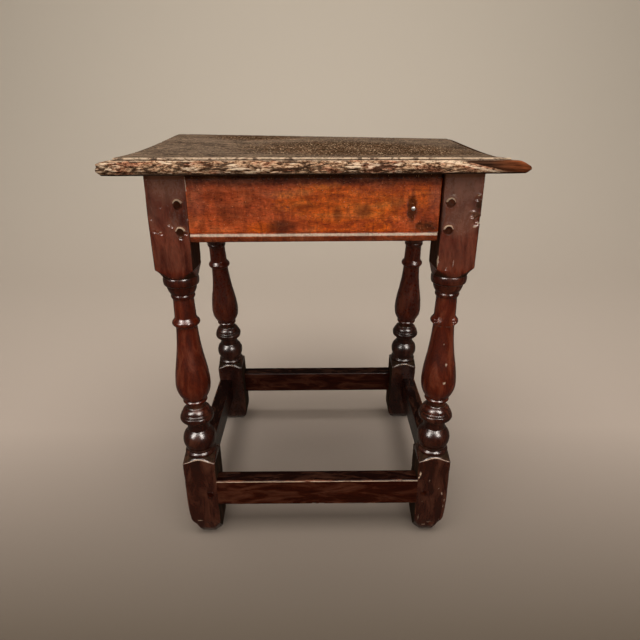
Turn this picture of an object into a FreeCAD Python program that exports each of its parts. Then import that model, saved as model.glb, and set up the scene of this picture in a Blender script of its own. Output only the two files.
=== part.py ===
import FreeCAD, Part
import os
import Sketcher

# A joint stool: a moulded board seat on four turned legs, tied by four aprons under the seat and
# four stretchers near the floor, every joint a pegged mortise and tenon.
# Millimetres, +Z up, front towards -Y, the origin on the floor under the middle of the stool.
# The front and back frames lean towards each other, so each is drawn square in a frame of its
# own: across is X, outward is -Y and up is along the legs.

SIZES = {
    # the frame
    "frame_height": 526.0,  # floor to the underside of the seat
    "leg_spacing": 333.0,  # between leg centres along the length
    "leg_spread": 286.0,  # between leg centres at the floor, front to back
    "splay": 4.4,  # lean of the front and back frames, degrees
    "leg_square": 45.0,
    "lower_block": 137.0,  # length of the square block at the foot
    "upper_block": 127.0,  # length of the square block under the seat
    "lower_shoulder_fall": 7.0,  # how far the block's turned corners fall from its faces
    "upper_shoulder_fall": 10.5,
    "foot_wear": 11.0,  # the feet are worn round their edges
    # the turning
    "base_bead_diameter": 43.6,
    "ball_diameter": 45.8,
    "collar_diameter": 45.8,
    "fillet_diameter": 30.8,
    "cove_diameter": 25.0,
    "vase_diameter": 46.8,
    "neck_diameter": 27.0,
    "ring_diameter": 35.6,
    "cap_diameter": 44.6,
    "ring_break": 150.0,  # how much of one leg's ring is broken away, degrees
    # the aprons and stretchers
    "apron_depth": 80.0,
    "apron_thick": 22.0,
    "bead_rise": 10.0,  # top of the run moulding above the apron's lower edge
    "bead_width": 4.6,
    "bead_depth": 1.4,
    "bead_fall": 3.6,  # how far the moulding rounds under the apron
    "stretcher_lift": 60.0,  # floor to the underside of a stretcher
    "stretcher_depth": 41.4,
    "stretcher_thick": 22.7,
    "stretcher_wear": 2.5,  # the rubbed outer arris on top of a stretcher
    # the joints
    "tenon_thick": 8.0,
    "tenon_set": 9.0,  # outer face of the leg to the tenon
    "tenon_gap": 3.0,  # wood left between two tenons that meet in a leg
    "tenon_rise": 3.0,  # lower edge of an apron to its tenon
    "tenon_drop": 16.0,  # upper edge of an apron to its tenon
    "tenon_shoulder": 4.0,  # edge of a stretcher to its tenon
    "tenon_play": 0.15,
    "mortise_depth_play": 1.0,
    "peg_diameter": 8.0,
    "peg_play": 0.1,
    "peg_inset": 10.4,  # shoulder of the joint to the peg's centre
    "peg_drop": 36.5,  # underside of the seat to an apron's upper pegs
    "peg_rise": 12.3,  # lower edge of an apron to its lower pegs
    "peg_proud": 0.8,
    "peg_chamfer": 0.8,
    # the nail in the front apron
    "nail_head": 5.0,
    "nail_head_proud": 0.9,
    "nail_shank": 2.6,
    "nail_length": 14.0,
    "nail_across": 114.0,  # middle of the apron to the nail
    "nail_drop": 43.0,  # underside of the seat to the nail
    # the seat
    "seat_thick": 20.0,
    "seat_overhang_ends": 41.0,
    "seat_overhang_sides": 37.9,
    "seat_step_in": 16.0,  # edge of the seat to the step of its moulding
    "seat_step": 2.6,  # height of that step
    "nosing_rise": 6.0,  # underside of the seat to the widest line of the nosing
    "nosing_under": 3.5,  # how far the nosing rounds under
    "nosing_quirk": 2.4,  # how far the nosing's top lies below the step
    "dish_depth": 7.5,
    "dish_across": 60.0,  # middle of the seat to the deepest wear
    "seat_peg_diameter": 9.0,
    "overrun": 6.0,  # how far every cut runs past the wood
}

# The turning, from the lower block up: the height as a share of the turned length, the diameter
# that the point follows, its share of that diameter and, where the line up to it is an arc, the
# height share and the diameter share of a point on that arc.
TURNING_SHARES = [
    (0.000, "leg_square", 0.990),
    (0.004, "leg_square", 0.920),
    (0.008, "leg_square", 0.920),
    (0.027, "base_bead_diameter", 0.940, 0.017, 1.000),
    (0.030, "base_bead_diameter", 0.890),
    (0.041, "ball_diameter", 0.850),
    (0.152, "ball_diameter", 0.670, 0.088, 1.000),
    (0.178, "fillet_diameter", 0.970),
    (0.186, "collar_diameter", 0.860),
    (0.217, "collar_diameter", 0.975, 0.201, 1.000),
    (0.220, "collar_diameter", 0.940),
    (0.223, "collar_diameter", 0.960),
    (0.271, "collar_diameter", 0.620, 0.252, 0.856),
    (0.309, "fillet_diameter", 0.945, 0.289, 0.812),
    (0.310, "fillet_diameter", 1.000),
    (0.324, "fillet_diameter", 1.000),
    (0.325, "fillet_diameter", 0.965),
    (0.429, "vase_diameter", 1.000, 0.372, 0.905),
    (0.565, "vase_diameter", 0.790, 0.497, 0.925),
    (0.725, "neck_diameter", 1.010, 0.645, 1.145),
    (0.738, "neck_diameter", 1.020),
    (0.741, "ring_diameter", 0.880),
    (0.769, "ring_diameter", 0.880, 0.755, 1.000),
    (0.777, "neck_diameter", 1.000),
    (0.870, "neck_diameter", 0.955),
    (0.873, "fillet_diameter", 0.880),
    (0.899, "fillet_diameter", 0.920, 0.887, 0.980),
    (0.902, "fillet_diameter", 0.965),
    (0.942, "cap_diameter", 0.835, 0.925, 0.785),
    (0.954, "cap_diameter", 0.965),
    (0.991, "cap_diameter", 0.985, 0.972, 1.000),
    (0.995, "leg_square", 0.950),
    (1.000, "leg_square", 0.990),
]
RING_HEIGHT_SHARES = (0.734, 0.781)  # the part of the turned length that the ring stands on
RING_CORE_SHARE = 1.03  # what is left there, as a share of the neck's diameter
CORNER_SHARE = 1.414  # corner of a square, as a share of half its side
SHOULDER_REACH_SHARE = 1.5  # the turned shoulder runs out to this share of half the square
SHOULDER_FALL_SHARE = 1.3  # and falls there to this share of its fall at the corner
PEG_STAGGER_SHARE = 1.25  # pegs that cross in a leg, apart by this share of a peg's diameter
STRETCHER_PEG_SHARE = 0.35  # the front peg lies this share of a peg below the stretcher's middle
DISH_REACH_SHARE = 0.52  # radius of the worn hollow, as a share of the seat's length
BEAD_CURVE_SHARE = 0.25  # the moulding's lower round passes here, between its edge and its foot
NOSING_BELLY_SHARES = (0.25, 0.68)  # the nosing's belly, across its step and up its height
NOSING_FOOT_SHARE = 0.3  # where the round under the nosing passes, across and up
MATCH_SHARE = 0.1  # an edge lies on a plane if it is within this share of a size from it

doc = FreeCAD.newDocument("joint_stool")
sheet = doc.addObject("Spreadsheet::Sheet", "Sizes")
for row, (alias, size) in enumerate(SIZES.items(), start=1):
    sheet.set(f"A{row}", alias)
    sheet.set(f"B{row}", str(size))
    sheet.setAlias(f"B{row}", alias)
doc.recompute()


def cell(alias):
    """The sheet's cell, as an expression."""
    return f"Sizes.{alias}"


def number(expression):
    """The present value of an expression."""
    return float(sheet.evalExpression(expression))


# Places worked out from the sizes, as expressions. A leg's own frame has its centre line at
# x = y = 0 and the floor level with z = 0 there.
HALF = f"({cell('leg_square')} / 2)"
LEAN_SIN = f"sin({cell('splay')})"
LEAN_COS = f"cos({cell('splay')})"
LEAN_TAN = f"tan({cell('splay')})"
OVERRUN = cell("overrun")
PLAY = cell("tenon_play")
HALF_SPACING = f"({cell('leg_spacing')} / 2)"
HALF_SPREAD = f"({cell('leg_spread')} / 2)"
LEG_LENGTH = f"({cell('frame_height')} / {LEAN_COS})"
TENON_LENGTH = f"({cell('leg_square')} - {cell('tenon_set')} - {cell('tenon_thick')} - {cell('tenon_gap')})"
TENON_MIDDLE = f"({HALF} - {cell('tenon_set')} - {cell('tenon_thick')} / 2)"
TENON_END = f"({HALF} - {TENON_LENGTH})"
SHOULDER_TO_SHOULDER = f"({cell('leg_spacing')} - {cell('leg_square')})"
PEG_ACROSS = f"({HALF} - {cell('peg_inset')})"
PEG_HOLE = f"({cell('peg_diameter')} + 2 * {cell('peg_play')})"
PEG_STAGGER = f"({PEG_STAGGER_SHARE} * {cell('peg_diameter')})"
SEAT_PEG_DEPTH = f"({cell('tenon_drop')} - {cell('tenon_gap')})"
SEAT_PEG_OUT = f"({HALF_SPREAD} - {cell('frame_height')} * {LEAN_TAN})"
TURNED_LENGTH = f"({LEG_LENGTH} - {cell('upper_block')} - {cell('lower_block')})"
SEAT_HALF_LENGTH = f"({HALF_SPACING} + {HALF} + {cell('seat_overhang_ends')})"
SEAT_HALF_DEPTH = f"({SEAT_PEG_OUT} + {HALF} / {LEAN_COS} + {cell('seat_overhang_sides')})"
DISH_REACH = f"({DISH_REACH_SHARE} * 2 * {SEAT_HALF_LENGTH})"
DISH_RADIUS = f"(({DISH_REACH} ^ 2 + {cell('dish_depth')} ^ 2) / (2 * {cell('dish_depth')}))"


def level(height, face):
    """Height above the floor, as a place up the leg on its outer (-1) or inner (1) face."""
    return f"({height} / {LEAN_COS} + {face} * {HALF} * {LEAN_TAN})"


def rail_levels(face):
    """Where the tenons lie up the leg, as (low, high) of the stretcher and of the apron."""
    stretcher = level(cell("stretcher_lift"), face)
    apron = level(cell("frame_height"), face)
    shoulder = cell("tenon_shoulder")
    return [
        (f"({stretcher} + {shoulder})", f"({stretcher} + {cell('stretcher_depth')} - {shoulder})"),
        (f"({apron} - {cell('apron_depth')} + {cell('tenon_rise')})", f"({apron} - {cell('tenon_drop')})"),
    ]


def peg_levels(face):
    """Where the pegs lie up the leg: one through the stretcher's tenon, two through the apron's."""
    middle = f"{level(cell('stretcher_lift'), face)} + {cell('stretcher_depth')} / 2"
    apron_top = level(cell("frame_height"), face)
    levels = [
        f"({middle} - {STRETCHER_PEG_SHARE} * {cell('peg_diameter')})",
        f"({apron_top} - {cell('apron_depth')} + {cell('peg_rise')})",
        f"({apron_top} - {cell('peg_drop')})",
    ]
    if face == 1:
        levels = [f"({place} + {PEG_STAGGER})" for place in levels]
    return levels


def raked(out, up):
    """A place in the front legs' own frame, as (y, z) of the stool."""
    return (
        f"({out} * {LEAN_COS} + {up} * {LEAN_SIN} - {HALF_SPREAD})",
        f"({up} * {LEAN_COS} - {out} * {LEAN_SIN})",
    )


def place(item, along="0", out="0", up="0", yaw=0.0, lean=False):
    """Gives a body its Placement, tied to the sheet."""
    item.setExpression("Placement.Base.x", along)
    item.setExpression("Placement.Base.y", out)
    item.setExpression("Placement.Base.z", up)
    roll = -number(cell("splay")) if lean else 0.0
    item.Placement.Rotation = FreeCAD.Rotation(yaw, 0.0, roll)


def place_in_frame(item, frame, across="0"):
    """Places a body of the front or back frame, across from the stool's middle."""
    sign = 1 if frame == "front" else -1
    yaw = 0.0 if frame == "front" else 180.0
    place(item, f"{sign} * {across}", f"{-sign} * {HALF_SPREAD}", yaw=yaw, lean=True)


def new_body(label, several_solids=False):
    body = doc.addObject("PartDesign::Body", label)
    body.Label = label
    body.AllowCompound = several_solids
    return body


def new_sketch(body, name, plane, offset="0", lean="0"):
    """A sketch on one of the body's own planes, moved along that plane's normal."""
    sketch = body.newObject("Sketcher::SketchObject", f"{body.Label}_{name}_sketch")
    support = next(item for item in body.Origin.OriginFeatures if item.Role == f"{plane}_Plane")
    sketch.AttachmentSupport = [(support, "")]
    sketch.MapMode = "FlatFace"
    sketch.AttachmentOffset = FreeCAD.Placement(
        FreeCAD.Vector(), FreeCAD.Rotation(FreeCAD.Vector(1, 0, 0), number(lean))
    )
    sketch.setExpression("AttachmentOffset.Base.z", offset)
    return sketch


def hold(sketch, side, end, point):
    """Ties one end of a side to its x and y expressions."""
    for axis, expression in zip("XY", point):
        rule = Sketcher.Constraint(f"Distance{axis}", side, end, number(expression))
        index = sketch.addConstraint(rule)
        sketch.setExpression(f"Constraints[{index}]", expression)


def draw_outline(sketch, points):
    """A closed ring through the points, each (x, y), or (x, y, via x, via y) after an arc."""
    corners = [FreeCAD.Vector(number(point[0]), number(point[1]), 0) for point in points]
    sides = []
    for index, point in enumerate(points):
        start, end = corners[index - 1], corners[index]
        if len(point) == 2:
            side = sketch.addGeometry(Part.LineSegment(start, end), False)
            sides.append((side, 1, 2))
            continue
        via = FreeCAD.Vector(number(point[2]), number(point[3]), 0)
        leftwards = (via - start).cross(end - via).z > 0
        ends = (start, end) if leftwards else (end, start)
        side = sketch.addGeometry(Part.Arc(ends[0], via, ends[1]), False)
        sides.append((side, 1, 2) if leftwards else (side, 2, 1))
        marker = sketch.addGeometry(Part.Point(via), True)
        hold(sketch, marker, 1, point[2:])
        sketch.addConstraint(Sketcher.Constraint("PointOnObject", marker, 1, side))
    for index, point in enumerate(points):
        before, here = sides[index], sides[(index + 1) % len(points)]
        sketch.addConstraint(Sketcher.Constraint("Coincident", before[0], before[2], here[0], here[1]))
        hold(sketch, before[0], before[2], point[:2])


def draw_box(sketch, low, high):
    """A rectangle between two corners."""
    draw_outline(sketch, [low, (high[0], low[1]), high, (low[0], high[1])])


def draw_circles(sketch, centres, diameter):
    for centre in centres:
        middle = FreeCAD.Vector(number(centre[0]), number(centre[1]), 0)
        radius = number(diameter) / 2
        circle = sketch.addGeometry(Part.Circle(middle, FreeCAD.Vector(0, 0, 1), radius), False)
        hold(sketch, circle, 3, centre)
        index = sketch.addConstraint(Sketcher.Constraint("Diameter", circle, 2 * radius))
        sketch.setExpression(f"Constraints[{index}]", diameter)


def extrude(body, kind, name, sketch, length):
    """A Pad or a Pocket, half to each side of its sketch."""
    feature = body.newObject(f"PartDesign::{kind}", f"{body.Label}_{name}")
    feature.Profile = sketch
    feature.SideType = "Symmetric"
    feature.setExpression("Length", length)
    feature.Refine = True
    body.Tip = feature
    return feature


def turn_away(body, name, sketch, angle=None):
    """A Groove about the upright axis of its sketch, whole or half to each side of the sketch."""
    feature = body.newObject("PartDesign::Groove", f"{body.Label}_{name}")
    feature.Profile = sketch
    feature.ReferenceAxis = (sketch, ["V_Axis"])
    feature.Angle = 360.0
    if angle:
        feature.Midplane = True
        feature.setExpression("Angle", angle)
    body.Tip = feature
    return feature


def chamfer_edges(body, name, size, wanted):
    """Chamfers those edges of the body so far that a test of their two ends picks."""
    doc.recompute()
    base = body.Tip
    names = []
    for index, edge in enumerate(base.Shape.Edges, start=1):
        ends = [vertex.Point for vertex in edge.Vertexes]
        if wanted(ends):
            names.append(f"Edge{index}")
    if not names:
        raise RuntimeError(f"{body.Label}: no edge to chamfer for {name}")
    feature = body.newObject("PartDesign::Chamfer", f"{body.Label}_{name}")
    feature.Base = (base, names)
    feature.setExpression("Size", size)
    body.Tip = feature
    return feature


def turning_points():
    """The turned outline from the lower block to the upper one."""
    points = []
    for height, alias, share, *via in TURNING_SHARES:
        radius = f"({share} * {cell(alias)} / 2)"
        point = (radius, f"({cell('lower_block')} + {height} * {TURNED_LENGTH})")
        if via:
            via_up = f"({cell('lower_block')} + {via[0]} * {TURNED_LENGTH})"
            point += (f"({via[1]} * {cell(alias)} / 2)", via_up)
        points.append(point)
    return points


def make_leg(label, frame, hand):
    """A square post, turned between its blocks. hand is 1 where +X faces the stool's middle."""
    leg = new_body(label)
    place_in_frame(leg, frame, f"{-hand} * {HALF_SPACING}")

    blank = new_sketch(leg, "blank", "YZ")
    foot_in, foot_out = level("0", 1), level("0", -1)
    head_in, head_out = level(cell("frame_height"), 1), level(cell("frame_height"), -1)
    corners = [(f"-{HALF}", foot_out), (HALF, foot_in), (HALF, head_in), (f"-{HALF}", head_out)]
    draw_outline(blank, corners)
    extrude(leg, "Pad", "blank", blank, cell("leg_square"))

    turning = new_sketch(leg, "turning", "XZ")
    reach = f"({SHOULDER_REACH_SHARE} * {HALF})"
    beyond = f"(2 * {HALF})"
    corner = f"({CORNER_SHARE} * {HALF})"
    low, high = cell("lower_block"), f"({LEG_LENGTH} - {cell('upper_block')})"
    low_fall, high_fall = cell("lower_shoulder_fall"), cell("upper_shoulder_fall")
    low_end = f"({low} - {SHOULDER_FALL_SHARE} * {low_fall})"
    high_end = f"({high} + {SHOULDER_FALL_SHARE} * {high_fall})"
    profile = turning_points()
    last = profile[-1]
    upper_shoulder = [(reach, high_end, corner, f"({high} + {high_fall})"), (beyond, high_end)]
    lower_shoulder = [(beyond, low_end), (reach, low_end)]
    first = profile[0] + (corner, f"({low} - {low_fall})")
    draw_outline(turning, [first] + profile[1:-1] + [last] + upper_shoulder + lower_shoulder)
    turn_away(leg, "turning", turning)

    mortise = f"({cell('tenon_thick')} + 2 * {PLAY})"
    end = f"({TENON_END} - {cell('mortise_depth_play')})"
    past = f"({HALF} + {OVERRUN})"
    across = new_sketch(leg, "front_mortises", "XZ", TENON_MIDDLE)
    for bottom, top in rail_levels(-1):
        sides = sorted([f"{hand} * {end}", f"{hand} * {past}"], key=number)
        draw_box(across, (sides[0], f"({bottom} - {PLAY})"), (sides[1], f"({top} + {PLAY})"))
    extrude(leg, "Pocket", "front_mortises", across, mortise)
    inward = new_sketch(leg, "side_mortises", "YZ", f"{-hand} * {TENON_MIDDLE}")
    for bottom, top in rail_levels(1):
        draw_box(inward, (end, f"({bottom} - {PLAY})"), (past, f"({top} + {PLAY})"))
    extrude(leg, "Pocket", "side_mortises", inward, mortise)

    through = f"({cell('leg_square')} + 2 * {OVERRUN})"
    front_holes = new_sketch(leg, "front_peg_holes", "XZ")
    draw_circles(front_holes, [(f"{hand} * {PEG_ACROSS}", up) for up in peg_levels(-1)], PEG_HOLE)
    extrude(leg, "Pocket", "front_peg_holes", front_holes, through)
    side_holes = new_sketch(leg, "side_peg_holes", "YZ")
    draw_circles(side_holes, [(PEG_ACROSS, up) for up in peg_levels(1)], PEG_HOLE)
    extrude(leg, "Pocket", "side_peg_holes", side_holes, through)
    head_hole = new_sketch(leg, "seat_peg_hole", "XY", LEG_LENGTH, cell("splay"))
    draw_circles(head_hole, [("0", "0")], f"({cell('seat_peg_diameter')} + 2 * {cell('peg_play')})")
    extrude(leg, "Pocket", "seat_peg_hole", head_hole, f"(2 * {SEAT_PEG_DEPTH})")

    slack = MATCH_SHARE * number(HALF)

    def at_floor(ends):
        lean = number(LEAN_TAN)
        return len(ends) == 2 and all(abs(end.z - lean * end.y) < slack for end in ends)

    chamfer_edges(leg, "foot_wear", cell("foot_wear"), at_floor)
    return leg


def break_ring(leg):
    """Breaks the outward side of the ring away, down to the neck."""
    broken = new_sketch(leg, "broken_ring", "YZ")
    core = f"({RING_CORE_SHARE} * {cell('neck_diameter')} / 2)"
    low, high = [f"({cell('lower_block')} + {share} * {TURNED_LENGTH})" for share in RING_HEIGHT_SHARES]
    draw_box(broken, (f"-{cell('ring_diameter')}", low), (f"-{core}", high))
    turn_away(leg, "broken_ring", broken, cell("ring_break"))


def bead_points(face, edge):
    """What the run moulding takes off a rail whose outer face and lower edge are given."""
    past_face, past_edge = f"({face} - {OVERRUN})", f"({edge} - {OVERRUN})"
    inner = f"({face} + {cell('bead_depth')})"
    quirk = f"({edge} + {cell('bead_rise')})"
    upper = f"({quirk} - {cell('bead_depth')})"
    lower = f"({upper} - {cell('bead_width')})"
    middle = f"({upper} - {cell('bead_width')} / 2)"
    under = f"({face} + {cell('bead_depth')} + {cell('bead_fall')})"
    under_via = f"({inner} + {BEAD_CURVE_SHARE} * {cell('bead_fall')})"
    lower_via = f"({edge} + {BEAD_CURVE_SHARE} * ({lower} - {edge}))"
    return [
        (past_face, quirk),
        (face, quirk),
        (inner, upper),
        (inner, lower, face, middle),
        (under, edge, under_via, lower_via),
        (under, past_edge),
        (past_face, past_edge),
    ]


def mirrored(points):
    """The same outline on the other side of the upright axis."""
    flipped = []
    for point in points:
        flip = (f"(-{point[0]})", point[1])
        if len(point) == 4:
            flip += (f"(-{point[2]})", point[3])
        flipped.append(flip)
    return flipped


def make_long_rail(label, frame, rail):
    """An apron or a stretcher of the front or back frame, with a tenon on each end."""
    body = new_body(label)
    place_in_frame(body, frame)
    face = f"(-{HALF})"
    is_apron = rail == 1
    thick = cell("apron_thick" if is_apron else "stretcher_thick")
    board = new_sketch(body, "board", "YZ")
    back = f"({face} + {thick})"
    if is_apron:
        top = level(cell("frame_height"), -1)
        edge = f"({top} - {cell('apron_depth')})"
        corners = [(face, edge), (back, edge), (back, f"({top} + {thick} * {LEAN_TAN})"), (face, top)]
    else:
        edge = level(cell("stretcher_lift"), -1)
        top = f"({edge} + {cell('stretcher_depth')})"
        wear = cell("stretcher_wear")
        corners = [
            (face, edge), (back, edge), (back, top),
            (f"({face} + {wear})", top), (face, f"({top} - {wear})"),
        ]
    draw_outline(board, corners)
    extrude(body, "Pad", "board", board, SHOULDER_TO_SHOULDER)
    if is_apron:
        moulding = new_sketch(body, "moulding", "YZ")
        draw_outline(moulding, bead_points(face, edge))
        extrude(body, "Pocket", "moulding", moulding, f"({cell('leg_spacing')} + {OVERRUN})")

    tenons = new_sketch(body, "tenons", "YZ")
    low, high = rail_levels(-1)[rail]
    outer = f"({face} + {cell('tenon_set')})"
    draw_box(tenons, (outer, low), (f"({outer} + {cell('tenon_thick')})", high))
    extrude(body, "Pad", "tenons", tenons, f"({SHOULDER_TO_SHOULDER} + 2 * {TENON_LENGTH})")

    holes = new_sketch(body, "peg_holes", "XZ")
    out = f"({HALF_SPACING} - {PEG_ACROSS})"
    levels = peg_levels(-1)[1:] if is_apron else peg_levels(-1)[:1]
    draw_circles(holes, [(f"{side} * {out}", up) for side in (-1, 1) for up in levels], PEG_HOLE)
    extrude(body, "Pocket", "peg_holes", holes, cell("leg_square"))
    return body


def side_face(height, face):
    """Where the front leg's outer (-1) or inner (1) face stands at a height, as a y of the stool."""
    return f"({face} * {HALF} / {LEAN_COS} - {HALF_SPREAD} + {height} * {LEAN_TAN})"


def make_side_rail(label, yaw, rail):
    """An apron or a stretcher between a front and a back leg, with raked shoulders and tenons."""
    body = new_body(label)
    place(body, yaw=yaw)
    is_apron = rail == 1
    thick = cell("apron_thick" if is_apron else "stretcher_thick")
    face = f"(-{HALF_SPACING} - {HALF})"
    if is_apron:
        edge = f"({cell('frame_height')} - {cell('apron_depth')})"
        top = cell("frame_height")
    else:
        edge = cell("stretcher_lift")
        top = f"({edge} + {cell('stretcher_depth')})"
    board = new_sketch(body, "board", "YZ", f"({face} + {thick} / 2)")
    lower, upper = side_face(edge, 1), side_face(top, 1)
    draw_outline(board, [(lower, edge), (f"(-{lower})", edge), (f"(-{upper})", top), (upper, top)])
    extrude(body, "Pad", "board", board, thick)
    arris = new_sketch(body, "arris", "XZ")
    if is_apron:
        draw_outline(arris, bead_points(face, edge))
    else:
        wear = cell("stretcher_wear")
        past_face, past_top = f"({face} - {OVERRUN})", f"({top} + {OVERRUN})"
        draw_outline(arris, [
            (past_face, f"({top} - {wear})"), (face, f"({top} - {wear})"), (f"({face} + {wear})", top),
            (f"({face} + {wear})", past_top), (past_face, past_top),
        ])
    extrude(body, "Pocket", "arris", arris, cell("leg_spread"))

    tenons = new_sketch(body, "tenons", "YZ", f"(-{HALF_SPACING} - {TENON_MIDDLE})")
    low, high = rail_levels(1)[rail]
    root = f"({HALF} + {cell('tenon_gap')})"
    corners = [raked(TENON_END, low), raked(root, low), raked(root, high), raked(TENON_END, high)]
    draw_outline(tenons, corners)
    draw_outline(tenons, mirrored(corners))
    extrude(body, "Pad", "tenons", tenons, cell("tenon_thick"))

    holes = new_sketch(body, "peg_holes", "YZ", f"(-{HALF_SPACING})")
    levels = peg_levels(1)[1:] if is_apron else peg_levels(1)[:1]
    centres = [raked(PEG_ACROSS, up) for up in levels]
    draw_circles(holes, centres + mirrored(centres), PEG_HOLE)
    extrude(body, "Pocket", "peg_holes", holes, cell("leg_square"))
    return body


def make_pegs(body, plane, middle, centres):
    """Round pegs through the legs, a little proud of the outer face, with rubbed outer ends."""
    length = f"({cell('leg_square')} + {cell('peg_proud')})"
    shift = f"({middle} + {cell('peg_proud')} / 2)"
    sign = -1 if plane == "YZ" else 1
    sketch = new_sketch(body, "pegs", plane, f"{sign} * {shift}")
    draw_circles(sketch, centres, cell("peg_diameter"))
    extrude(body, "Pad", "pegs", sketch, length)
    axis = FreeCAD.Vector(1, 0, 0) if plane == "YZ" else FreeCAD.Vector(0, 1, 0)
    outer = -number(shift) - number(length) / 2
    slack = MATCH_SHARE * number(cell("peg_proud"))

    def at_outer_end(ends):
        return all(abs(end.dot(axis) - outer) < slack for end in ends)

    chamfer_edges(body, "rubbed_ends", cell("peg_chamfer"), at_outer_end)
    return body


def make_long_pegs(label, frame, rail):
    """The pegs of a front or back rail, driven from outside through the legs."""
    body = new_body(label, several_solids=True)
    place_in_frame(body, frame)
    out = f"({HALF_SPACING} - {PEG_ACROSS})"
    levels = peg_levels(-1)[1:] if rail == 1 else peg_levels(-1)[:1]
    centres = [(f"{side} * {out}", up) for side in (-1, 1) for up in levels]
    return make_pegs(body, "XZ", "0", centres)


def make_side_pegs(label, yaw, rail):
    """The pegs of a side rail, driven from outside through the legs."""
    body = new_body(label, several_solids=True)
    place(body, yaw=yaw)
    levels = peg_levels(1)[1:] if rail == 1 else peg_levels(1)[:1]
    centres = [raked(PEG_ACROSS, up) for up in levels]
    return make_pegs(body, "YZ", HALF_SPACING, centres + mirrored(centres))


def nail_centre():
    return cell("nail_across"), f"({level(cell('frame_height'), -1)} - {cell('nail_drop')})"


def make_nail(label):
    """A wrought nail in the front apron, its head just proud of the face."""
    body = new_body(label)
    place_in_frame(body, "front")
    outer = f"({HALF} + {cell('nail_head_proud')})"
    shank = new_sketch(body, "shank", "XZ", f"({outer} - {cell('nail_length')} / 2)")
    draw_circles(shank, [nail_centre()], cell("nail_shank"))
    extrude(body, "Pad", "shank", shank, cell("nail_length"))
    head = new_sketch(body, "head", "XZ", f"({outer} - {cell('nail_head_proud')} / 2)")
    draw_circles(head, [nail_centre()], cell("nail_head"))
    extrude(body, "Pad", "head", head, cell("nail_head_proud"))
    return body


def drill_for_nail(apron):
    hole = new_sketch(apron, "nail_hole", "XZ", HALF)
    draw_circles(hole, [nail_centre()], f"({cell('nail_shank')} + 2 * {cell('peg_play')})")
    extrude(apron, "Pocket", "nail_hole", hole, f"(2 * {cell('nail_length')})")


def wear_hollow(body, top):
    """The shallow hollow that use has worn in the seat, a very large ball's."""
    ball = body.newObject("PartDesign::SubtractiveSphere", f"{body.Label}_worn_hollow")
    ball.setExpression("Radius", DISH_RADIUS)
    ball.setExpression("Placement.Base.x", cell("dish_across"))
    ball.setExpression("Placement.Base.z", f"({top} - {cell('dish_depth')} + {DISH_RADIUS})")
    body.Tip = ball


def seat_edge(half):
    """What the edge moulding takes off the seat, at the end that lies at -half."""
    thick = cell("seat_thick")
    step_x = f"(-{half} + {cell('seat_step_in')})"
    step_foot = f"({thick} - {cell('seat_step')} - {cell('nosing_quirk')})"
    nosing_top = f"({thick} - {cell('seat_step')})"
    quirk_x = f"({step_x} - {cell('nosing_quirk')} / 2)"
    under = f"(-{half} + {cell('nosing_under')})"
    past_side, past_top = f"(-{half} - {OVERRUN})", f"({thick} + {OVERRUN})"
    belly_in, belly_rise = NOSING_BELLY_SHARES
    belly_x = f"(-{half} + {belly_in} * {cell('seat_step_in')})"
    belly_up = f"({cell('nosing_rise')} + {belly_rise} * ({nosing_top} - {cell('nosing_rise')}))"
    under_x = f"(-{half} + {NOSING_FOOT_SHARE} * {cell('nosing_under')})"
    under_up = f"({NOSING_FOOT_SHARE} * {cell('nosing_rise')})"
    return [
        (under, f"(-{OVERRUN})"),
        (under, "0"),
        (f"(-{half})", cell("nosing_rise"), under_x, under_up),
        (quirk_x, nosing_top, belly_x, belly_up),
        (step_x, step_foot),
        (step_x, past_top),
        (past_side, past_top),
        (past_side, f"(-{OVERRUN})"),
    ]


def make_seat(label):
    seat = new_body(label)
    place(seat, up=cell("frame_height"))
    board = new_sketch(seat, "board", "XY", f"({cell('seat_thick')} / 2)")
    far = (SEAT_HALF_LENGTH, SEAT_HALF_DEPTH)
    draw_box(board, (f"(-{far[0]})", f"(-{far[1]})"), far)
    extrude(seat, "Pad", "board", board, cell("seat_thick"))
    for name, plane, half, length in (
        ("long_edge", "YZ", SEAT_HALF_DEPTH, SEAT_HALF_LENGTH),
        ("end_edge", "XZ", SEAT_HALF_LENGTH, SEAT_HALF_DEPTH),
    ):
        edge = new_sketch(seat, name, plane)
        draw_outline(edge, seat_edge(half))
        draw_outline(edge, mirrored(seat_edge(half)))
        extrude(seat, "Pocket", name, edge, f"(2 * {length} + 2 * {OVERRUN})")
    wear_hollow(seat, cell("seat_thick"))
    holes = new_sketch(seat, "peg_holes", "XY")
    draw_circles(holes, seat_peg_centres(), f"({cell('seat_peg_diameter')} + 2 * {cell('peg_play')})")
    extrude(seat, "Pocket", "peg_holes", holes, f"(2 * {cell('seat_thick')} + 2 * {OVERRUN})")
    return seat


def seat_peg_centres():
    signs = [(-1, -1), (1, -1), (1, 1), (-1, 1)]
    return [(f"{along} * {HALF_SPACING}", f"{out} * {SEAT_PEG_OUT}") for along, out in signs]


def make_seat_pegs(label):
    """Pegs that hold the seat down, from its worn top into the heads of the legs."""
    pegs = new_body(label, several_solids=True)
    place(pegs, up=cell("frame_height"))
    length = f"({cell('seat_thick')} + {SEAT_PEG_DEPTH} - {cell('tenon_play')})"
    sketch = new_sketch(pegs, "pegs", "XY", f"({cell('seat_thick')} - {length} / 2)")
    draw_circles(sketch, seat_peg_centres(), cell("seat_peg_diameter"))
    extrude(pegs, "Pad", "pegs", sketch, length)
    wear_hollow(pegs, cell("seat_thick"))
    return pegs


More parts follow.
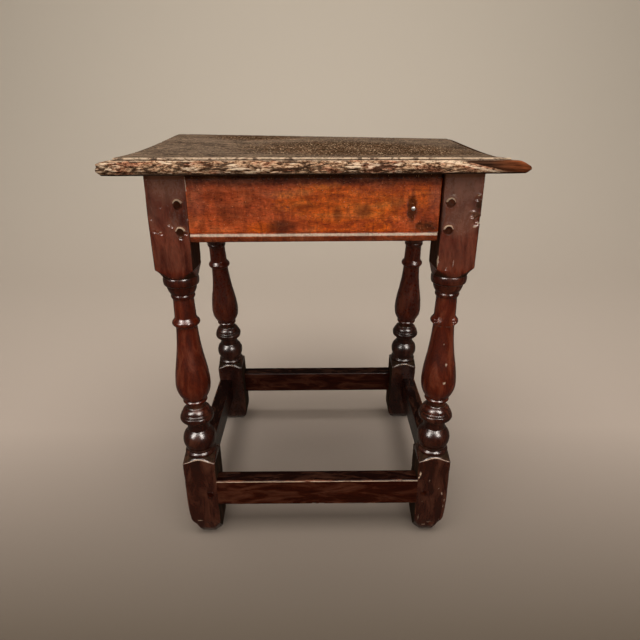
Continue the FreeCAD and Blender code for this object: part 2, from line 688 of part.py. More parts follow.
def build():
    """Every piece of the stool, in the order that it goes together."""
    pieces = []
    for label, frame, hand in (
        ("front_left_leg", "front", 1),
        ("front_right_leg", "front", -1),
        ("back_right_leg", "back", 1),
        ("back_left_leg", "back", -1),
    ):
        pieces.append(make_leg(label, frame, hand))
    break_ring(pieces[1])
    for rail, kind in enumerate(("stretcher", "apron")):
        for frame in ("front", "back"):
            pieces.append(make_long_rail(f"{frame}_{kind}", frame, rail))
            pieces.append(make_long_pegs(f"{frame}_{kind}_pegs", frame, rail))
        for side, yaw in (("left", 0.0), ("right", 180.0)):
            pieces.append(make_side_rail(f"{side}_{kind}", yaw, rail))
            pieces.append(make_side_pegs(f"{side}_{kind}_pegs", yaw, rail))
    front_apron = next(piece for piece in pieces if piece.Label == "front_apron")
    drill_for_nail(front_apron)
    pieces.append(make_nail("front_apron_nail"))
    pieces.append(make_seat("seat_top"))
    pieces.append(make_seat_pegs("seat_pegs"))
    return pieces


def check(pieces):
    """Stops on a failed object, an empty shape or a cut that takes nothing away."""
    for item in doc.Objects:
        if "Invalid" in item.State or "Error" in item.State:
            raise RuntimeError(f"{item.Label} failed: {item.State}")
        if item.TypeId in ("PartDesign::Pocket", "PartDesign::Groove", "PartDesign::SubtractiveSphere"):
            before = item.BaseFeature.Shape.Volume
            if not item.Shape.Volume < before:
                raise RuntimeError(f"{item.Label} takes nothing away")
    for piece in pieces:
        if piece.Shape.isNull() or not piece.Shape.isValid():
            raise RuntimeError(f"{piece.Label} has no valid shape")


def export(pieces):
    os.makedirs("parts", exist_ok=True)
    for piece in pieces:
        piece.Shape.exportStep(f"parts/{piece.Label}.step")
        print(f"{piece.Label}: {len(piece.Shape.Solids)} solid(s)")


PIECES = build()
doc.recompute()
check(PIECES)
export(PIECES)
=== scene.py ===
import math

import bpy
import numpy as np
from mathutils import Matrix, Vector


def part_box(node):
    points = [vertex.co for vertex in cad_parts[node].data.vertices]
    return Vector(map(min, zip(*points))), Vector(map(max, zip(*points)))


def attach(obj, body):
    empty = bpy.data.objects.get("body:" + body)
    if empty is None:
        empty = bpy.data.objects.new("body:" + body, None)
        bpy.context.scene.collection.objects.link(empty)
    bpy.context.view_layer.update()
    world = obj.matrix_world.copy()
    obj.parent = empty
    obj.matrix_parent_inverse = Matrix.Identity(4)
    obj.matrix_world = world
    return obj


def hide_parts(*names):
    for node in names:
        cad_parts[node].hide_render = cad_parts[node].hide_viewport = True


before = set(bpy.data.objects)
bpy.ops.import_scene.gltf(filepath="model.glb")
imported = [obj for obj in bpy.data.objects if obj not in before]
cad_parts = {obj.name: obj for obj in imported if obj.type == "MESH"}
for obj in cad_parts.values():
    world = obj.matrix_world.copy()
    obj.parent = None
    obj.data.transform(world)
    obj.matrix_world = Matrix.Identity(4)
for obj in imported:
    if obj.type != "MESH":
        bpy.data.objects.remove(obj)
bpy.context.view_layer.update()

# A worn joint stool. Lengths are millimetres until a mesh is made; +Z is up and -Y is the front.
MM = 0.001


def box_mm(node):
    """A node's lowest and highest corners, in millimetres."""
    low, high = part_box(node)
    return np.array(low) / MM, np.array(high) / MM


LEG_LOW, LEG_HIGH = box_mm("front_left_leg")
SEAT_LOW, SEAT_HIGH = box_mm("seat_top")
HEAD = LEG_HIGH[2]  # height of the legs' heads, the seat's underside
HALF = (LEG_HIGH[0] - LEG_LOW[0]) / 2  # half a leg's width
SPACING = -(LEG_HIGH[0] + LEG_LOW[0])  # between leg centres, along the length
SPREAD = 286.0  # between leg centres at the floor, front to back
LEAN = math.radians(4.4)
TAN, COS, SIN = math.tan(LEAN), math.cos(LEAN), math.sin(LEAN)
SEAT_THICK = SEAT_HIGH[2] - SEAT_LOW[2]
INSIDE = 0.05  # how far the surfaces stay within the frame's own box


# Noise

def hashed(x, y, z, seed):
    """A steady number from 0 to 1 for each whole-number place."""
    mixed = (x * 374761393 + y * 668265263 + z * 2246822519 + seed * 3266489917) & 0xFFFFFFFF
    mixed = ((mixed ^ (mixed >> 13)) * 1274126177) & 0xFFFFFFFF
    return ((mixed ^ (mixed >> 16)) & 0xFFFF) / 65535.0


def noise(points, size, seed=0):
    """Smooth noise from -1 to 1, its grain a length or one for each axis."""
    scaled = points / np.asarray(size, float)
    cell = np.floor(scaled).astype(np.int64)
    part = scaled - cell
    part = part * part * (3 - 2 * part)
    total = np.zeros(len(points))
    for corner in range(8):
        step = np.array([corner & 1, corner >> 1 & 1, corner >> 2 & 1])
        weight = np.where(step == 1, part, 1 - part).prod(axis=1)
        total += weight * hashed(*(cell + step).T, seed)
    return 2 * total - 1


def layered(points, size, seed=0, layers=3):
    """Noise with finer and weaker layers added."""
    size = np.asarray(size, float)
    total, weight, reach = np.zeros(len(points)), 1.0, 0.0
    for layer in range(layers):
        total += weight * noise(points, size / 2**layer, seed + layer)
        reach += weight
        weight /= 2
    return total / reach


def rising(values, low, high):
    """0 below low, 1 above high and smooth between."""
    share = np.clip((values - low) / (high - low), 0, 1)
    return share * share * (3 - 2 * share)


def peak(values, width, power=2):
    """1 where values are 0, fading over about a width to each side."""
    return np.exp(-((values / width) ** power))


def spots(points, size, seed, low, high):
    """Ragged spots of noise, 0 below low and 1 above high."""
    return rising(layered(points, size, seed), low, high)


def veins(points, size, seed, low, high, layers=3):
    """Thin wandering lines where noise crosses 0, fading from low to high."""
    return 1 - rising(abs(layered(points, size, seed, layers)), low, high)


def soft_min(values, softness):
    """The least of several arrays, rounded where two meet."""
    low = np.min(values, axis=0)
    return low - softness * np.log(sum(np.exp((low - value) / softness) for value in values))


# Outlines and meshes

def arc(start, via, end, step):
    """Points after start up to end, on the circle through all three."""
    (ax, ay), (bx, by), (cx, cy) = start, via, end
    turn = 2 * (ax * (by - cy) + bx * (cy - ay) + cx * (ay - by))
    a, b, c = ax * ax + ay * ay, bx * bx + by * by, cx * cx + cy * cy
    across = a * (by - cy) + b * (cy - ay) + c * (ay - by)
    up = a * (cx - bx) + b * (ax - cx) + c * (bx - ax)
    middle = np.array([across, up]) / turn
    radius = np.hypot(*(np.array(start) - middle))
    angles = [math.atan2(*(np.array(point) - middle)[::-1]) for point in (start, via, end)]
    sweep = (angles[2] - angles[0]) % math.tau
    if (angles[1] - angles[0]) % math.tau > sweep:
        sweep -= math.tau
    count = max(2, math.ceil(abs(sweep) * radius / step))
    turned = angles[0] + sweep * np.arange(1, count + 1) / count
    return middle + radius * np.stack([np.cos(turned), np.sin(turned)], axis=1)


def path(corners, step):
    """Points along straight lines and arcs. A corner is (x, y), or (x, y, via x, via y) after an arc."""
    points = [np.array([corners[0][:2]], float)]
    for before, corner in zip(corners, corners[1:]):
        if len(corner) == 4:
            points.append(arc(before[:2], corner[2:], corner[:2], step))
            continue
        start, end = np.array(before[:2], float), np.array(corner, float)
        count = max(1, math.ceil(np.hypot(*(end - start)) / step))
        points.append(start + (end - start) * np.arange(1, count + 1)[:, None] / count)
    return np.concatenate(points)


def spaced(*stretches):
    """Places along a line: each stretch is (from, to, about how far apart)."""
    places = [np.array([stretches[0][0]], float)]
    for low, high, step in stretches:
        count = max(1, round((high - low) / step))
        places.append(np.linspace(low, high, count + 1)[1:])
    return np.concatenate(places)


def tube_faces(rows, columns):
    """Quads round a stack of closed rings, and a fan of triangles at each end."""
    index = np.arange(rows * columns).reshape(rows, columns)
    low, high = index[:-1], index[1:]
    quads = np.stack([low, np.roll(low, -1, 1), np.roll(high, -1, 1), high], axis=-1).reshape(-1, 4)
    faces = quads.tolist()
    for ring, centre in ((index[0][::-1], rows * columns), (index[-1], rows * columns + 1)):
        faces += [[int(a), int(b), centre] for a, b in zip(ring, np.roll(ring, -1))]
    return faces


def tube(rings):
    """The points and faces of a stack of closed rings, capped."""
    rows, columns = rings.shape[:2]
    points = np.concatenate([rings.reshape(-1, 3), [rings[0].mean(axis=0), rings[-1].mean(axis=0)]])
    return points, tube_faces(rows, columns)


def joined(pieces):
    """Several (points, faces) as one."""
    points, faces, start = [], [], 0
    for some_points, some_faces in pieces:
        points.append(some_points)
        faces += [[start + corner for corner in face] for face in some_faces]
        start += len(some_points)
    return np.concatenate(points), faces


ROWS, HANDS = (("front", -1), ("back", 1)), (("left", -1), ("right", 1))
SECOND_FROM = 0.6  # a face whose mask is above this has the second material


def new_piece(node, surface, material, shape, placing=None, second=None):
    """Makes the mesh that stands for a node.

    shape(points, normals) gives how far each point moves out along its normal, and the masks
    that the material reads. placing turns the piece's own frame into the stool's. second is
    another material and the mask that says which faces have it.
    """
    points, faces = surface
    mesh = bpy.data.meshes.new(f"{node}_surface")
    mesh.from_pydata(points.tolist(), [], faces)
    corners = np.array([[*face, face[-1]][:4] for face in faces])
    a, b, c, d = points[corners].transpose(1, 0, 2)
    if (np.cross(a, b) * c + np.cross(a, c) * d).sum() < 0:
        mesh.flip_normals()
    mesh.update()
    normals = np.empty(len(points) * 3)
    mesh.vertex_normals.foreach_get("vector", normals)
    normals = normals.reshape(-1, 3)
    moved, masks = shape(points, normals)
    points = points + normals * moved[:, None]
    if placing is not None:
        points = placing(points)
    mesh.vertices.foreach_set("co", (points * MM).astype(np.float32).ravel())
    for name, mask in masks.items():
        layer = mesh.attributes.new(name, "FLOAT", "POINT")
        layer.data.foreach_set("value", np.clip(mask, 0, 1).astype(np.float32))
    mesh.shade_smooth()
    mesh.update()
    piece = bpy.data.objects.new(f"{node}_surface", mesh)
    bpy.context.scene.collection.objects.link(piece)
    mesh.materials.append(material)
    if second:
        mesh.materials.append(second[0])
        covered = masks[second[1]][corners].mean(axis=1) > SECOND_FROM
        mesh.polygons.foreach_set("material_index", covered.astype(np.int32))
    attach(piece, "root")
    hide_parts(node)


# Wear, dirt, painted shade and painted highlights. A patch is (x, z, reach along x, y and z, strength) on a
# piece's outer face, in its own frame, where -Y is out. One off that face has its y after its x.

def nearness(points, centre, reach, ragged=0.0, seed=0):
    """1 at a place, falling to 0 at its reach, with a ragged rim."""
    distance = np.sqrt((((points - np.array(centre)) / np.array(reach)) ** 2).sum(axis=1))
    if ragged:
        distance = distance + ragged * layered(points, 3.0, seed + 11)
    return 1 - rising(distance, 0.25, 1.0)


def patches(points, places, ragged=0.25):
    """The strongest of several patches at each point."""
    total = np.zeros(len(points))
    for number, place in enumerate(places):
        x, y, z, *reach, strength = place if len(place) == 7 else (place[0], -HALF, *place[1:])
        near = nearness(points, (x, y, z), reach, ragged, number)
        total = np.maximum(total, strength * near)
    return total


# The legs. Heights are up the leg's own line; the turning is (height, radius), or with a via
# (height, radius) after an arc.

FOOT_CORNERS = [(0.0, 60.0), (126.0, 60.0), (127.5, 33.5)]
LOWER_SHOULDER = [(130.0, 31.8), (137.0, 22.4, 133.0, 25.9)]
TURNING = [
    (138.0, 20.6), (139.0, 20.6), (144.2, 20.5, 141.6, 21.8), (144.9, 19.4), (147.6, 19.2), (148.4, 18.4),
    (177.0, 15.3, 160.8, 22.9), (184.0, 14.7), (190.6, 15.4), (192.0, 21.2), (200.4, 22.2, 196.2, 23.3),
    (200.9, 20.3), (201.7, 20.3), (202.0, 21.5), (203.2, 21.1), (203.6, 19.8), (212.0, 13.8, 208.8, 18.0),
    (219.8, 13.6, 216.2, 12.4), (220.4, 14.5), (224.4, 14.9, 222.6, 16.4), (225.0, 14.9),
    (250.0, 23.4, 236.2, 21.3), (286.0, 18.5, 268.0, 21.65), (328.0, 13.7, 307.0, 15.5), (332.8, 13.9),
]
RING = [(333.8, 15.6), (341.0, 16.1, 337.6, 17.8), (344.2, 13.9)]
NECK = [
    (369.4, 13.1), (370.4, 13.7), (376.2, 14.3, 373.4, 15.2), (377.0, 15.0),
    (386.4, 18.6, 381.8, 17.5), (388.0, 19.0), (389.0, 21.4), (398.2, 21.9, 393.6, 22.3), (399.2, 21.2),
]
UPPER_SHOULDER = [(400.5, 22.4), (411.0, 31.8, 404.5, 25.0), (413.0, 33.5), (414.5, 60.0), (600.0, 60.0)]
PROFILE_STEP = 0.5
WHOLE = path(FOOT_CORNERS + LOWER_SHOULDER + TURNING + RING + NECK + UPPER_SHOULDER, PROFILE_STEP)
RINGLESS = path(FOOT_CORNERS + LOWER_SHOULDER + TURNING + NECK + UPPER_SHOULDER, PROFILE_STEP)
LEG_LEVELS = spaced(
    (0, 24, 1.2), (24, 124, 2.5), (124, 146, 0.6), (146, 176, 1.0), (176, 199, 0.7), (199, 205, 0.3),
    (205, 226, 0.6), (226, 328, 1.8), (328, 346, 0.5), (346, 368, 1.8), (368, 414, 0.6),
    (414, 448, 1.5), (448, 500, 0.8), (500, 528, 1.4),
)
SIDE_POINTS = (16, 12, 16, 44)  # on a leg's +X, inner, -X and outer sides
LEG_ARRIS = 1.6  # the radius of the blocks' corners
MEETING = 0.45  # how softly the blocks and the turning run into each other
LEVEL_FOOT, LEVEL_HEAD = 30.0, 500.0  # below and above these the rings turn level with the floor


def rounded_square(half, corner, side_points):
    """Points round a square with rounded corners, counter-clockwise."""
    points = []
    for quarter, count in enumerate(side_points):
        straight = np.linspace(-(half - corner), half - corner, count)
        side = [(half, along) for along in straight]
        for share in (0.25, 0.5, 0.75):
            angle = share * math.pi / 2
            reach = half - corner
            side.append((reach + corner * math.cos(angle), reach + corner * math.sin(angle)))
        turn = quarter * math.pi / 2
        cosine, sine = math.cos(turn), math.sin(turn)
        points += [(cosine * x - sine * y, sine * x + cosine * y) for x, y in side]
    return np.array(points)


def leg_surface(wear, swell, ring_gone):
    """A square post, turned between its blocks, with the corners of its foot worn away."""
    outline = rounded_square(HALF, LEG_ARRIS, SIDE_POINTS)
    angles = np.arctan2(outline[:, 1], outline[:, 0])
    height = np.repeat(LEG_LEVELS[:, None], len(outline), axis=1)
    angle = np.repeat(angles[None, :], len(LEG_LEVELS), axis=0)
    sides = []
    cuts, corners = wear
    for number in range(4):
        away = number * math.pi / 2 - math.pi / 2
        reach = HALF + np.interp(height, SWELL_HEIGHTS, swell[number])
        reach = reach - np.interp(height, FOOT_HEIGHTS, cuts[number])
        sides.append(reach / np.maximum(np.cos(angle - away), 0.05))
        cut, rise = corners[number]
        reach = HALF * math.sqrt(2) - cut * np.clip(1 - height / rise, 0, 1)
        sides.append(reach / np.maximum(np.cos(angle - away - math.pi / 4), 0.05))
    turned = np.interp(height, WHOLE[:, 0], WHOLE[:, 1])
    if ring_gone:
        bare = np.interp(height, RINGLESS[:, 0], RINGLESS[:, 1])
        turned = turned + (bare - turned) * ring_gone(angle, height)
    radius = soft_min(sides + [turned], MEETING)
    x, y = radius * np.cos(angle), radius * np.sin(angle)
    sheared = height + np.clip(1 - height / LEVEL_FOOT, 0, 1) * y * TAN
    top = HEAD / COS + y * TAN
    share = (height - LEVEL_HEAD) / (LEG_LEVELS[-1] - LEVEL_HEAD)
    sheared = np.where(share > 0, LEVEL_HEAD + share * (top - LEVEL_HEAD), sheared)
    return tube(np.stack([x, y, sheared], axis=-1))


DARK_HEIGHTS = (0.0, 200.0, 226.0, 290.0, 364.0, 374.0, 400.0, 410.0)
DARKNESS = (0.9, 0.9, 0.45, 0.4, 0.35, 0.7, 0.7, 0.0)  # how much darker the wood is than the upper blocks


def recessed(z):
    """1 in the hollows between the rings of the turning."""
    turned = np.minimum(np.interp(z, WHOLE[:, 0], WHOLE[:, 1]), HALF)
    profile = np.minimum(WHOLE[:, 1], HALF)
    total = np.zeros(len(z))
    for reach, least, most in ((4.0, 0.4, 3.0), (1.1, 0.3, 1.1)):
        below, above = (np.interp(z + way * reach, WHOLE[:, 0], profile) for way in (-1, 1))
        total = np.maximum(total, rising((below + above) / 2 - turned, least, most))
    return total


def dented(points, dents, seed):
    """How far small dents move a leg's points, and a painted highlight on the dents' upper rims.

    A dent is (x, z, reach, depth, height of its rim) on the outer face.
    """
    offset, rim_highlights = np.zeros(len(points)), np.zeros(len(points))
    for x, z, reach, depth, lip in dents:
        distance = np.linalg.norm(points - (x, -HALF, z), axis=1) / reach
        distance = distance + 0.12 * noise(points, 2.5, seed + int(z))
        rim = peak(distance - 1.0, 0.2)
        offset += lip * rim - depth * (1 - rising(distance, 0.45, 0.95))
        if lip:
            # Only the upper rim of a dent is lightened: a painted highlight.
            rim_highlights = np.maximum(rim_highlights, rim * rising(points[:, 2] - z, -0.2 * reach, 0.5 * reach))
    return offset, rim_highlights


def leg_shape(details):
    """How a leg is worn, and its masks, with painted shade and painted highlights among them."""
    seed = details["seed"]

    def shape(points, normals):
        x, y, z = points.T
        in_blocks = np.maximum(1 - rising(z, 130, 138), rising(z, 400, 408))
        corner = rising(np.minimum(abs(x), abs(y)), HALF - 2.4, HALF - 0.8) * in_blocks
        chips = corner * details["chipped"] * spots(points, (5, 5, 9), seed + 20, 0.3, 0.5)
        rough = details["rough"] * (1 - rising(z, 118, 134)) + 0.9 * (1 - rising(z, 16, 34))
        dents, rim_highlights = dented(points, details["dents"], seed)
        offset = 0.14 * layered(points, (14, 14, 40), seed) + 0.05 * noise(points, (1.75, 1.75, 15), seed + 5)
        offset += dents - 1.1 * chips - 0.7 * rough * spots(points, (4, 4, 7), seed + 30, 0.05, 0.5)
        offset = np.where(z < 40, np.minimum(offset, -0.03), offset) * rising(z, 0.2, 2.0)

        from_face = HALF - np.maximum(abs(x), abs(y))
        from_turning = np.interp(z, WHOLE[:, 0], WHOLE[:, 1]) - np.hypot(x, y)
        at_shoulder = (z > 127) * (z < 138.5) + (z > 399) * (z < 414)
        # A thin pale line along the shoulders' arcs: a worn arris, lightened further as a painted highlight.
        worn_rib_highlight = at_shoulder * peak(from_turning, 0.9) * peak(from_face, 0.9)
        worn_rib_highlight = 0.8 * worn_rib_highlight * rising(abs(y), HALF - 6, HALF - 2) * np.where(z > 300, 0.4, 1.0)
        worn = 0.55 * corner * spots(points, (6, 6, 14), seed + 2, -0.1, 0.4)
        upper_block, lower_block = rising(z, 404, 414), 1 - rising(z, 126, 134)
        outwards = rising(-normals[:, 1], 0.5, 0.9) * upper_block
        # Painted shade on the blocks' inner faces.
        inward_shade = rising(details["inward"] * normals[:, 0], 0.5, 0.9) * np.maximum(upper_block, lower_block)
        # Darker in the hollows of the turning and at the shoulders: painted shade, with dirt.
        hollow_shade = np.maximum(recessed(z) * (1 - in_blocks), 0.8 * at_shoulder * rising(from_face, 0.7, 2.0))
        masks = {
            # Worn corners, with painted highlights on the shoulders and on the dents' upper rims.
            "wear": np.maximum.reduce([worn, worn_rib_highlight, 0.8 * rim_highlights]),
            "grime": np.maximum.reduce([hollow_shade, 0.9 * inward_shade, patches(points, details["grime"])]),
            "dust": np.maximum(0.2 * outwards, patches(points, details["dust"], 0.15)),
            "raw": np.maximum.reduce([patches(points, details["raw"], 0.6), 0.7 * chips, worn_rib_highlight]),
            "dark": np.interp(z, DARK_HEIGHTS, DARKNESS),
            "shade": np.maximum(patches(points, details["shade"]), details["shaded"]),
        }
        return offset, masks

    return shape


BOW_HEIGHTS = (0.0, 200.0, 300.0, 400.0, 528.0)
BOWS = {
    "front_left_leg": (0.0, 0.8, 1.5, 2.0, 2.6),
    "front_right_leg": (0.0, 0.2, 0.5, 1.8, 2.8),
    "back_left_leg": (0.0, 0.0, 1.0, 3.4, 3.6),
    "back_right_leg": (0.0, 0.0, 0.3, 0.8, 1.0),
}


def bowed(node, height):
    """How far a leg stands out sideways at a height: none is quite straight."""
    return np.interp(height, BOW_HEIGHTS, BOWS[node])


def in_frame(side, across, bow=None):
    """Places a piece of the front (-1) or back (1) frame, its middle across from the stool's."""

    def placing(points):
        x, y, z = points.T
        if bow:
            x = x - side * math.copysign(1, across) * bowed(bow, z)
        out = -y
        placed_y = side * (SPREAD / 2 + out * COS - z * SIN)
        placed_z = z * COS + out * SIN
        return np.stack([across - side * x, placed_y, placed_z], axis=1)

    return placing


# The wear of each foot: how far its outer, +X, inner and -X sides are cut back at heights up the leg,
# and the (cut, rise) of the corners that follow each of them. In the leg's own frame -Y is out.
FOOT_HEIGHTS = (0.0, 7.0, 14.0, 22.0, 27.0, 31.0, 45.0, 62.0)
RUBBED = (9.0, 4.0, 0.8, 0.0, 0.0, 0.0, 0.0, 0.0)
SPLIT = (14.2, 14.0, 13.0, 8.8, 4.4, 2.6, 1.0, 0.0)
FRONT_RUBBED = (12.8, 7.0, 2.2, 1.2, 0.2, 0.0, 0.0, 0.0)
SIDE_RUBBED = (3.0, 1.8, 0.8, 0.2, 0.0, 0.0, 0.0, 0.0)
FEET = {
    "front_left_leg": (
        (FRONT_RUBBED, SIDE_RUBBED, RUBBED, SPLIT), ((17.0, 26.0), (12.0, 14.0), (15.0, 16.0), (15.0, 22.0)),
    ),
    "front_right_leg": (
        (FRONT_RUBBED, SPLIT, RUBBED, SIDE_RUBBED), ((15.0, 22.0), (15.0, 16.0), (12.0, 14.0), (17.0, 26.0)),
    ),
    "back_left_leg": (
        (RUBBED, SIDE_RUBBED, RUBBED, RUBBED), ((14.0, 14.0), (12.0, 12.0), (13.0, 13.0), (15.0, 15.0)),
    ),
    "back_right_leg": (
        (RUBBED, RUBBED, RUBBED, SIDE_RUBBED), ((15.0, 14.0), (13.0, 12.0), (12.0, 13.0), (14.0, 15.0)),
    ),
}
# How far each side stands out, in the same order: at the foot, at the lower and upper shoulders,
# half way up the upper block and at the head
SWELL_HEIGHTS = (0.0, 130.0, 410.0, 470.0, 528.0)
STRAIGHT = (0.0, 0.0, 0.0, 0.0, 0.0)
SWELLS = {
    "front_left_leg": (STRAIGHT, (0.0, 0.0, -0.8, 0.2, 1.2), STRAIGHT, (0.3, 0.3, 3.0, 3.0, 0.4)),
    "front_right_leg": (STRAIGHT, (-0.5, 0.0, 2.2, 2.2, 2.2), STRAIGHT, (0.0, 0.0, -1.0, -1.4, -1.4)),
    "back_left_leg": (STRAIGHT, STRAIGHT, STRAIGHT, STRAIGHT),
    "back_right_leg": (STRAIGHT, STRAIGHT, STRAIGHT, STRAIGHT),
}
PEG_ACROSS = HALF - 10.4  # from a leg's middle to its pegs


def broken_ring(angle, height):
    """1 where the front of one ring has broken off."""
    degrees = np.degrees(angle) + 90
    degrees = (degrees + 180) % 360 - 180
    ragged = 6 * np.sin(height * 1.7) + 3 * np.sin(height * 4.1)
    whole_left = rising(-(degrees + ragged), 62, 68)
    whole_right = rising(degrees + ragged, 38, 44)
    rough_left = 0.55 * rising(-degrees, 14, 30) * (0.5 + 0.5 * np.sin(degrees * 0.9 + height * 2.2))
    return 1 - np.maximum(np.maximum(whole_left, whole_right), rough_left)


# The rails. A long rail is drawn in its frame's own plane, outwards -Y; a side rail runs along Y.

def level(height, out):
    """A height above the floor, as a height up the leg at a place out from its middle."""
    return height / COS + out * TAN


STRETCHER_LIFT, STRETCHER_DEPTH, STRETCHER_THICK = 60.0, 41.4, 22.7
APRON_DEPTH, APRON_THICK = 80.0, 22.0
APRON_SAG = 0.8  # how far the aprons' lower edges hang below their drawn size
QUIRK_RISE, QUIRK_DEPTH, BEAD_FALL, FOOT_IN = 11.4, 2.2, 3.4, 2.8
TENON_SET, TENON_THICK, TENON_SHOWN = 9.0, 8.0, 3.0
TENON_UP, TENON_DOWN = 8.0, 10.0  # from the rail's lower edge and from its top
SHOULDER_IN = 0.5  # how far a front or back rail's shoulder runs into the leg
RAIL_STEP = 2.0
NEAR_END = np.array([0.0, 0.4, 1.0])  # the first rings in from a shoulder
FINE, COARSE = 0.5, 2.0  # how far apart a rail outline's points are


def apron_loop(face, edge, top_out, top_in):
    """The outline of an apron: outer face down to its run moulding, under and up the back."""
    quirk = edge + QUIRK_RISE
    inner = face + QUIRK_DEPTH
    crest = quirk - 1.4 - BEAD_FALL
    back = face + APRON_THICK
    return [
        (face + 0.5, top_out), (face, top_out - 0.6), (face, quirk + 0.9),
        (inner, quirk, face + 0.4, quirk + 0.2), (inner, quirk - 1.4),
        (face, crest, face + 0.8, crest + 2.4), (face + 0.1, edge + 2.6),
        (face + FOOT_IN, edge, face + 0.7, edge + 0.7), (back - 0.8, edge), (back, edge + 0.8),
        (back, top_in), (face + 0.5, top_out),
    ]


def stretcher_loop(face, edge, top):
    """The outline of a stretcher, its upper outer arris rubbed round."""
    back = face + STRETCHER_THICK
    return [
        (face + 2.6, top), (face, top - 2.4, face + 0.8, top - 0.6), (face, edge + 0.8), (face + 0.8, edge),
        (back - 0.8, edge), (back, edge + 0.8), (back, top - 1.0), (back - 1.0, top), (face + 2.6, top),
    ]


def resampled(corners, fine, coarse):
    """A closed outline's points: fine on its short runs and arcs, coarse on its long ones."""
    points = [np.array(corners[0][:2], float)]
    for before, corner in zip(corners, corners[1:]):
        length = np.hypot(corner[0] - before[0], corner[1] - before[1])
        step = fine if length < 6 or len(corner) == 4 else coarse
        points += list(path([before[:2], corner], step)[1:])
    return np.array(points[:-1])


def rail_surface(outline, ends, tenon, bent):
    """A rail with an outline of (out, up), from end to end, and a stub of tenon at each end.

    ends is (left, right) where the shoulders stand; bent(out, up, along) bends the shoulders to
    what they meet and gives the finished (x, y, z).
    """
    left, right = ends
    middle = np.linspace(left, right, round((right - left) / RAIL_STEP))[1:-1]
    stations = np.concatenate([left + NEAR_END, middle, right - NEAR_END[::-1]])
    low, high = tenon
    clipped = np.clip(outline, low, high)
    rings = [(clipped, left - TENON_SHOWN), (clipped, left)]
    rings += [(outline, along) for along in stations]
    rings += [(clipped, right), (clipped, right + TENON_SHOWN)]
    return tube(np.array([bent(*loop.T, np.full(len(loop), along)) for loop, along in rings]))


def rail_shape(details):
    """How a rail is worn: its uneven faces and chipped arrises, and its masks, with painted shade and painted
    highlights among them.
    """
    seed = details["seed"]

    def shape(points, normals):
        along, out, up = points[:, details["axis"]], points[:, 1 - details["axis"]], points[:, 2]
        across = np.stack([along, details["outwards"] * out, up], axis=1)
        from_face = abs(across[:, 1] - details["face"])
        from_top, from_edge = abs(details["top"] - up), abs(up - details["edge"])
        arris = np.maximum(peak(from_face + from_top, 3.2), peak(from_face + from_edge, 2.4))
        chips = arris * spots(across, (7, 4, 4), seed + 20, 0.2, 0.45)
        offset = 0.16 * layered(across, (60, 12, 12), seed) + 0.04 * noise(across, (10, 2, 2), seed + 3)
        offset -= details["chipped"] * chips

        rubbed = arris * (0.3 + 0.7 * spots(across, (14, 6, 6), seed + 2, -0.3, 0.4))
        # Painted highlights: the upper outer arris, partly rubbed bare, and the crest of the apron's bead.
        arris_highlight = peak(from_top - 1.6, 0.6) * peak(from_face, 0.9)
        arris_highlight = arris_highlight * spots(across, (16, 5, 5), seed + 50, -0.8, -0.1)
        bead_highlight_line = peak(from_edge - 8.2, 1.9, 4) * (0.85 + 0.3 * layered(across, (20, 5, 5), seed + 55))
        pale_highlight = np.maximum(details["pale_highlight"] * arris_highlight, details["bead_highlight"] * bead_highlight_line)
        # Painted shade on the rails' tops, and over the shaded rails.
        above = rising(normals[:, 2], 0.7, 0.95) * (from_top < 3)
        shaded = details["shaded"] + (0.9 - details["shaded"]) * above
        masks = {
            "wear": rubbed * details["rubbed"],
            "grime": patches(across, details["grime"]),
            "dust": patches(across, details["dust"], 0.15),
            "raw": np.maximum.reduce([chips * details["bare"], pale_highlight, patches(across, details["raw"], 0.6)]),
            "glow": patches(across, details["glow"], 0.3),
            "shade": np.maximum(patches(across, details["shade"], 0.3), shaded),
        }
        return offset, masks

    return shape


def drawn_rail(kind, face, edge, tops, ends, bent):
    """A rail's surface, and where its face, edge and top lie; tops are its outer and inner ones."""
    if kind == "apron":
        loop = apron_loop(face, edge, tops[0] - INSIDE, tops[1] - INSIDE)
    else:
        loop = stretcher_loop(face, edge, tops[0])
    cheek = face + TENON_SET
    tenon = ((cheek, edge + TENON_UP), (cheek + TENON_THICK, tops[0] - TENON_DOWN))
    surface = rail_surface(resampled(loop, FINE, COARSE), ends, tenon, bent)
    return surface, {"face": face, "edge": edge, "top": tops[0]}


def long_rail(kind, ends):
    """A front or back rail, in its frame's own plane."""
    face = -HALF
    if kind == "apron":
        tops = (level(HEAD, face), level(HEAD, face + APRON_THICK))
        edge = tops[0] - APRON_DEPTH - APRON_SAG
    else:
        edge = level(STRETCHER_LIFT, face)
        tops = (edge + STRETCHER_DEPTH,) * 2

    def bent(out, up, along):
        return np.stack([along, out, up], axis=1)

    surface, place = drawn_rail(kind, face, edge, tops, ends, bent)
    return surface, {**place, "axis": 0, "outwards": 1}


def side_rail(kind, side):
    """A side rail between a front and a back leg, its shoulders raked; side is -1 on the left."""
    face = -SPACING / 2 - HALF
    edge = HEAD - APRON_DEPTH if kind == "apron" else STRETCHER_LIFT
    top = HEAD if kind == "apron" else edge + STRETCHER_DEPTH
    longest = SPREAD / 2 - HALF / COS - edge * TAN

    def bent(out, up, along):
        here = SPREAD / 2 - HALF / COS - up * TAN
        return np.stack([-side * out, along * here / longest, up], axis=1)

    surface, place = drawn_rail(kind, face, edge, (top, top), (-longest, longest), bent)
    return surface, {**place, "axis": 1, "outwards": -side}


FRONT_APRON_ENDS = (-145.9, 144.0)  # its right shoulder has shrunk off its leg


